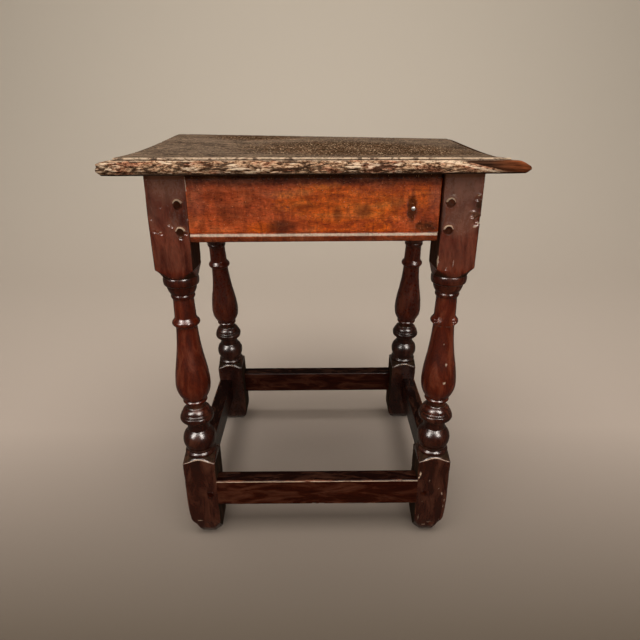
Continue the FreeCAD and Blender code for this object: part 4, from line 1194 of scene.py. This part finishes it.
# Where each piece is worn, stained or dusty, and where shade and highlights are painted: patches, except for
# the dents of the legs
PLAIN_RAIL = {
    "grime": [], "dust": [], "raw": [], "glow": [], "shade": [],
    "chipped": 0.6, "rubbed": 0.8, "bare": 0.3, "pale_highlight": 0.0, "bead_highlight": 0.0, "shaded": 0.0,
}
RAIL_MARKS_SHADE_AND_HIGHLIGHTS = {
    "front_apron": {
        "glow": [
            (12, 492, 82, 9, 32, 1.0), (72, 486, 52, 9, 28, 0.9), (-62, 462, 28, 9, 10, 0.8),
            (72, 462, 28, 9, 10, 1.0), (25, 468, 50, 9, 20, 0.7), (124, 496, 22, 9, 26, 0.8),
            (100, 500, 30, 9, 18, 0.6),
        ],
        "shade": [
            (-38, 464, 30, 9, 11, 0.9), (27, 476, 10, 9, 16, 0.7), (58, 480, 15, 9, 12, 0.7),
            (-96, 478, 22, 9, 22, 0.5), (0, 520, 900, 9, 16, 1.0), (136, 462, 16, 9, 14, 0.6),
            (0, 447, 900, 6, 8, 1.0), (-10, 486, 28, 9, 6, 0.6), (95, 490, 12, 9, 20, 0.5),
            (-118, 500, 18, 9, 12, 0.4),
        ],
        "dust": [(-136, 492, 16, 9, 28, 0.35), (138, 494, 12, 9, 26, 0.4), (-30, 500, 60, 9, 9, 0.2)],
        "raw": [(-145.6, 511, 1.3, 6, 12, 0.9)],
        # The grime patch at height 521 is painted shadow under the seat; the shade patches at 520 and 447 are
        # painted shade under the seat and under the bead.
        "grime": [
            (112.5, 483.5, 9.5, 8, 25, 1.0), (128, 462, 22, 8, 13, 0.75), (0, 521, 900, 9, 7.5, 1.0),
            (-36.4, 485, 2, 5, 2, 0.9), (-30.2, 485, 2.6, 5, 2.6, 0.9),
        ],
        "chipped": 0.25, "bead_highlight": 0.95,
    },
    "front_stretcher": {"pale_highlight": 0.9, "bare": 0.4},
    "back_stretcher": {"shaded": 0.35, "pale_highlight": 0.5},
    "left_stretcher": {"shaded": 0.5},
    "right_stretcher": {"shaded": 0.5},
}
PLAIN_LEG = {
    "dents": [], "grime": [], "dust": [], "raw": [], "shade": [],
    "shaded": 0.0, "rough": 0.3, "chipped": 0.5,
}
LEG_WEAR_AND_SHADE = {
    "front_left_leg": {
        "dents": [
            (PEG_ACROSS, 489.3, 6.6, 0.8, 0.2), (PEG_ACROSS, 458.1, 6.6, 0.8, 0.2),
            (-0.3, 465.6, 2.2, 0.7, 0.4), (2.6, 463.9, 2.2, 0.7, 0.4), (11.6, 450.6, 3.0, 0.8, 0.6),
            (-18.6, 458.0, 2.8, 0.6, 0.4), (-14.5, 457.4, 2.2, 0.6, 0.4), (-11.0, 455.6, 2.4, 0.6, 0.5),
            (-19.7, 516.0, 2.4, 0.5, 0.3), (-10.4, 511.5, 2.6, 0.5, 0.4), (-2.5, 513.5, 2.0, 0.5, 0.4),
            (-8.2, 485.8, 1.8, 0.4, 0.3), (-20.5, 472.5, 1.8, 0.5, 0.3), (18.8, 455.5, 2.6, 0.8, 0.6),
        ],
        # The grime patch at height 521 is painted shadow under the seat.
        "grime": [(8, 476, 13, 9, 20, 0.5), (20, 470, 6, 9, 40, 0.45), (0, 521, 90, 9, 7.5, 1.0)],
        "dust": [(2, 514, 40, 14, 36, 0.85), (-20, 480, 14, 9, 30, 0.5), (6, 462, 22, 9, 24, 0.4)],
        "shade": [(0, 424, 60, 9, 34, 0.45)],
        "raw": [
            (-0.3, 466.2, 1.8, 5, 0.9, 0.8), (2.6, 464.4, 1.8, 5, 0.9, 0.8),
            (11.6, 451.9, 2.4, 5, 1.2, 1.0), (-11.2, 457.2, 2.0, 5, 1.2, 0.9),
            (-18.6, 459.4, 1.8, 5, 1.0, 0.7), (-2.5, 514.6, 1.5, 5, 1.2, 0.7),
            (-6.6, 28.5, 6.8, 5, 1.3, 0.6), (-19.8, 516.6, 1.6, 5, 1.0, 0.6),
            (-10.4, 512.4, 1.8, 5, 1.0, 0.7),
        ],
    },
    "front_right_leg": {
        "dents": [
            (-PEG_ACROSS, 489.3, 6.6, 0.7, 0.3), (-PEG_ACROSS, 458.1, 6.6, 0.7, 0.3),
            (13.6, 475.0, 4.0, 1.6, 0.7), (21.0, 469, 7.0, 2.8, 0.3), (19.1, 494.2, 4.4, 0.9, 0.3),
            (-20.5, 421, 3.0, 0.9, 0.2), (-10.4, 411, 1.8, 0.6, 0.4), (-2.1, 417, 1.6, 0.4, 0.0),
        ],
        # The grime patch at height 521 is painted shadow under the seat, and the long one at the inner edge
        # is painted shade along the seam with the apron.
        "grime": [
            (20.4, 487, 6, 9, 9, 1.0), (19, 474, 8, 9, 7, 0.95), (-20, 475, 5, 9, 36, 0.6),
            (0, 521, 90, 9, 7.5, 1.0),
        ],
        "dust": [(0, 510, 44, 14, 40, 1.0), (2, 470, 34, 9, 34, 0.8), (0, 75, 60, 12, 70, 0.06)],
        "shade": [(0, 424, 60, 9, 34, 0.45)],
        "raw": [
            (18.4, 461.8, 4.2, 7, 1.8, 1.0), (22.6, -21, 465.5, 3.0, 7, 2.2, 1.0),
            (19.1, 497.2, 3.6, 6, 0.9, 0.9), (-2.1, 417.0, 0.9, 5, 9, 0.8), (-21.5, 421, 1.8, 5, 9, 0.8),
            (-10.4, 412.2, 1.2, 5, 1.2, 0.8), (13.4, 478.0, 2.6, 5, 0.8, 0.7),
            (-8.4, 497.5, 5, 5, 2.0, 0.5), (-18.8, 111, 1.8, 5, 6, 0.9), (-20.5, 103, 1.6, 5, 4, 0.9),
            (-5, 98, 1.0, 5, 3, 0.6), (9, 84, 1.2, 5, 2.5, 0.7), (14.5, 75, 1.4, 5, 3.5, 0.9),
            (17.6, 53, 2.2, 5, 3.5, 0.9), (-12.8, 61, 1.2, 5, 2.5, 0.5), (19, 63, 1.2, 5, 9, 0.6),
            (-2, 22, 8, 6, 1.6, 0.5), (-9, 17, 5, 8, 1.8, 0.6), (7, 15, 5, 8, 1.8, 0.6),
            (14, 27, 1.6, 6, 5, 0.6), (-17, 32, 1.3, 6, 9, 0.6), (-1.5, -19, 309, 2.6, 6, 5, 0.8),
            (3.5, -21, 281, 2.8, 6, 4, 0.8), (2.0, -22, 256, 3.0, 6, 4, 0.7),
        ],
        "rough": 0.9,
    },
    "back_left_leg": {"shaded": 0.4},
    "back_right_leg": {"shaded": 0.45},
}


def make_legs():
    """The four legs, the faces of each that are dark with grime and painted shade in a duller wood."""
    legs = [(f"{row}_{hand}_leg", side, way) for row, side in ROWS for hand, way in HANDS]
    for number, (node, side, way) in enumerate(legs):
        details = {**PLAIN_LEG, "seed": 100 * number, "inward": side * way, **LEG_WEAR_AND_SHADE.get(node, {})}
        gone = broken_ring if node == "front_right_leg" else None
        surface = leg_surface(FEET[node], SWELLS[node], gone)
        material = LEG_WOOD if side < 0 else BACK_LEG_WOOD
        placing = in_frame(side, way * SPACING / 2, node)
        new_piece(node, surface, material, leg_shape(details), placing, (DULL_LEG_WOOD, "grime"))


# The camera and the light

CAMERA_AT = Vector((4.49, -683.4, 604.0)) * MM
CAMERA_PITCH, CAMERA_YAW, CAMERA_ROLL = 0.4407, 0.0023, 0.0063
CAMERA_LENS = 27.06


def add_camera():
    """The camera that took the photograph, worked out from the stool's own corners."""
    pitch, yaw, roll = CAMERA_PITCH, CAMERA_YAW, CAMERA_ROLL
    forward = Vector((math.sin(yaw) * math.cos(pitch), math.cos(yaw) * math.cos(pitch), -math.sin(pitch)))
    sideways = Vector((math.cos(yaw), -math.sin(yaw), 0))
    down = forward.cross(sideways)
    right = math.cos(roll) * sideways + math.sin(roll) * down
    below = -math.sin(roll) * sideways + math.cos(roll) * down
    data = bpy.data.cameras.new("camera")
    data.lens = CAMERA_LENS
    data.clip_start = 0.01
    camera = bpy.data.objects.new("camera", data)
    turned = Matrix((right, -below, -forward)).transposed().to_4x4()
    camera.matrix_world = Matrix.Translation(CAMERA_AT) @ turned
    bpy.context.scene.collection.objects.link(camera)
    bpy.context.scene.camera = camera


MIDDLE, STOOL = (0.0, 0.0, 0.3), (0.0, -0.1, 0.2)  # what a panel is aimed at; one aimed at None faces down
PANELS = (  # name, place, size, power, whether it shows only in reflections, aim
    ("front", (0.0, -2.6, 1.25), (3.2, 1.6), 42, False, MIDDLE),
    ("overhead", (0.0, -0.4, 2.6), (2.6, 2.2), 72, False, MIDDLE),
    ("window_left", (-1.65, -1.7, 2.1), (0.85, 1.9), 180, True, STOOL),
    ("window_right", (1.15, -2.0, 2.15), (0.85, 1.9), 180, True, STOOL),
    ("ceiling", (0.0, -0.6, 2.6), (2.2, 3.4), 125, True, None),
)
LIGHT_TINT = (1.0, 0.95, 0.88)
ROOM_TINT, ROOM_STRENGTH = (0.456, 0.386, 0.309, 1.0), 0.25


def add_light():
    """Soft light from the front and above, two long windows and a ceiling to reflect, and a dim room."""
    for name, place, size, power, reflected, aim in PANELS:
        data = bpy.data.lights.new(name, "AREA")
        data.shape = "RECTANGLE"
        data.size, data.size_y = size
        data.energy = power
        data.color = LIGHT_TINT
        panel = bpy.data.objects.new(name, data)
        panel.location = place
        panel.visible_camera = False
        panel.visible_glossy = reflected
        panel.visible_diffuse = not reflected
        if aim:
            panel.rotation_euler = (Vector(aim) - Vector(place)).to_track_quat("-Z", "Y").to_euler()
        bpy.context.scene.collection.objects.link(panel)
    world = bpy.data.worlds.new("room")
    bpy.context.scene.world = world
    world.use_nodes = True
    background = world.node_tree.nodes["Background"]
    background.inputs["Color"].default_value = ROOM_TINT
    background.inputs["Strength"].default_value = ROOM_STRENGTH


FLOOR_FRONT, FLOOR_BACK, WALL_BACK, WALL_TOP = 0.35, 0.9, 2.4, 4.0
FLOOR_REACH = 8.0
# The floor's colour darkens towards the front: painted shade.
FLOOR_SHADES = (0.0, (0.105, 0.084, 0.064)), (0.16, (0.425, 0.36, 0.315)), (1.0, (0.67, 0.61, 0.53))


def add_floor():
    """A plain floor that curves up behind into a plain wall."""
    bend = WALL_BACK - FLOOR_BACK
    turn = np.linspace(0, math.pi / 2, 24)
    profile = [(-FLOOR_REACH, 0.0)]
    profile += [(FLOOR_BACK + bend * math.sin(angle), bend * (1 - math.cos(angle))) for angle in turn]
    profile += [(WALL_BACK, WALL_TOP)]
    points = [(side * FLOOR_REACH, y, z) for y, z in profile for side in (-1, 1)]
    faces = [(row, row + 1, row + 3, row + 2) for row in range(0, len(points) - 2, 2)]
    mesh = bpy.data.meshes.new("floor")
    mesh.from_pydata(points, [], faces)
    mesh.shade_smooth()
    floor = bpy.data.objects.new("floor", mesh)
    floor.visible_glossy = False
    mesh.materials.append(floor_material())
    bpy.context.scene.collection.objects.link(floor)


make_legs()
make_rails()
make_pegs()
make_nail()
make_seat()
add_floor()
add_camera()
add_light()
bpy.context.scene.view_settings.view_transform = "Standard"
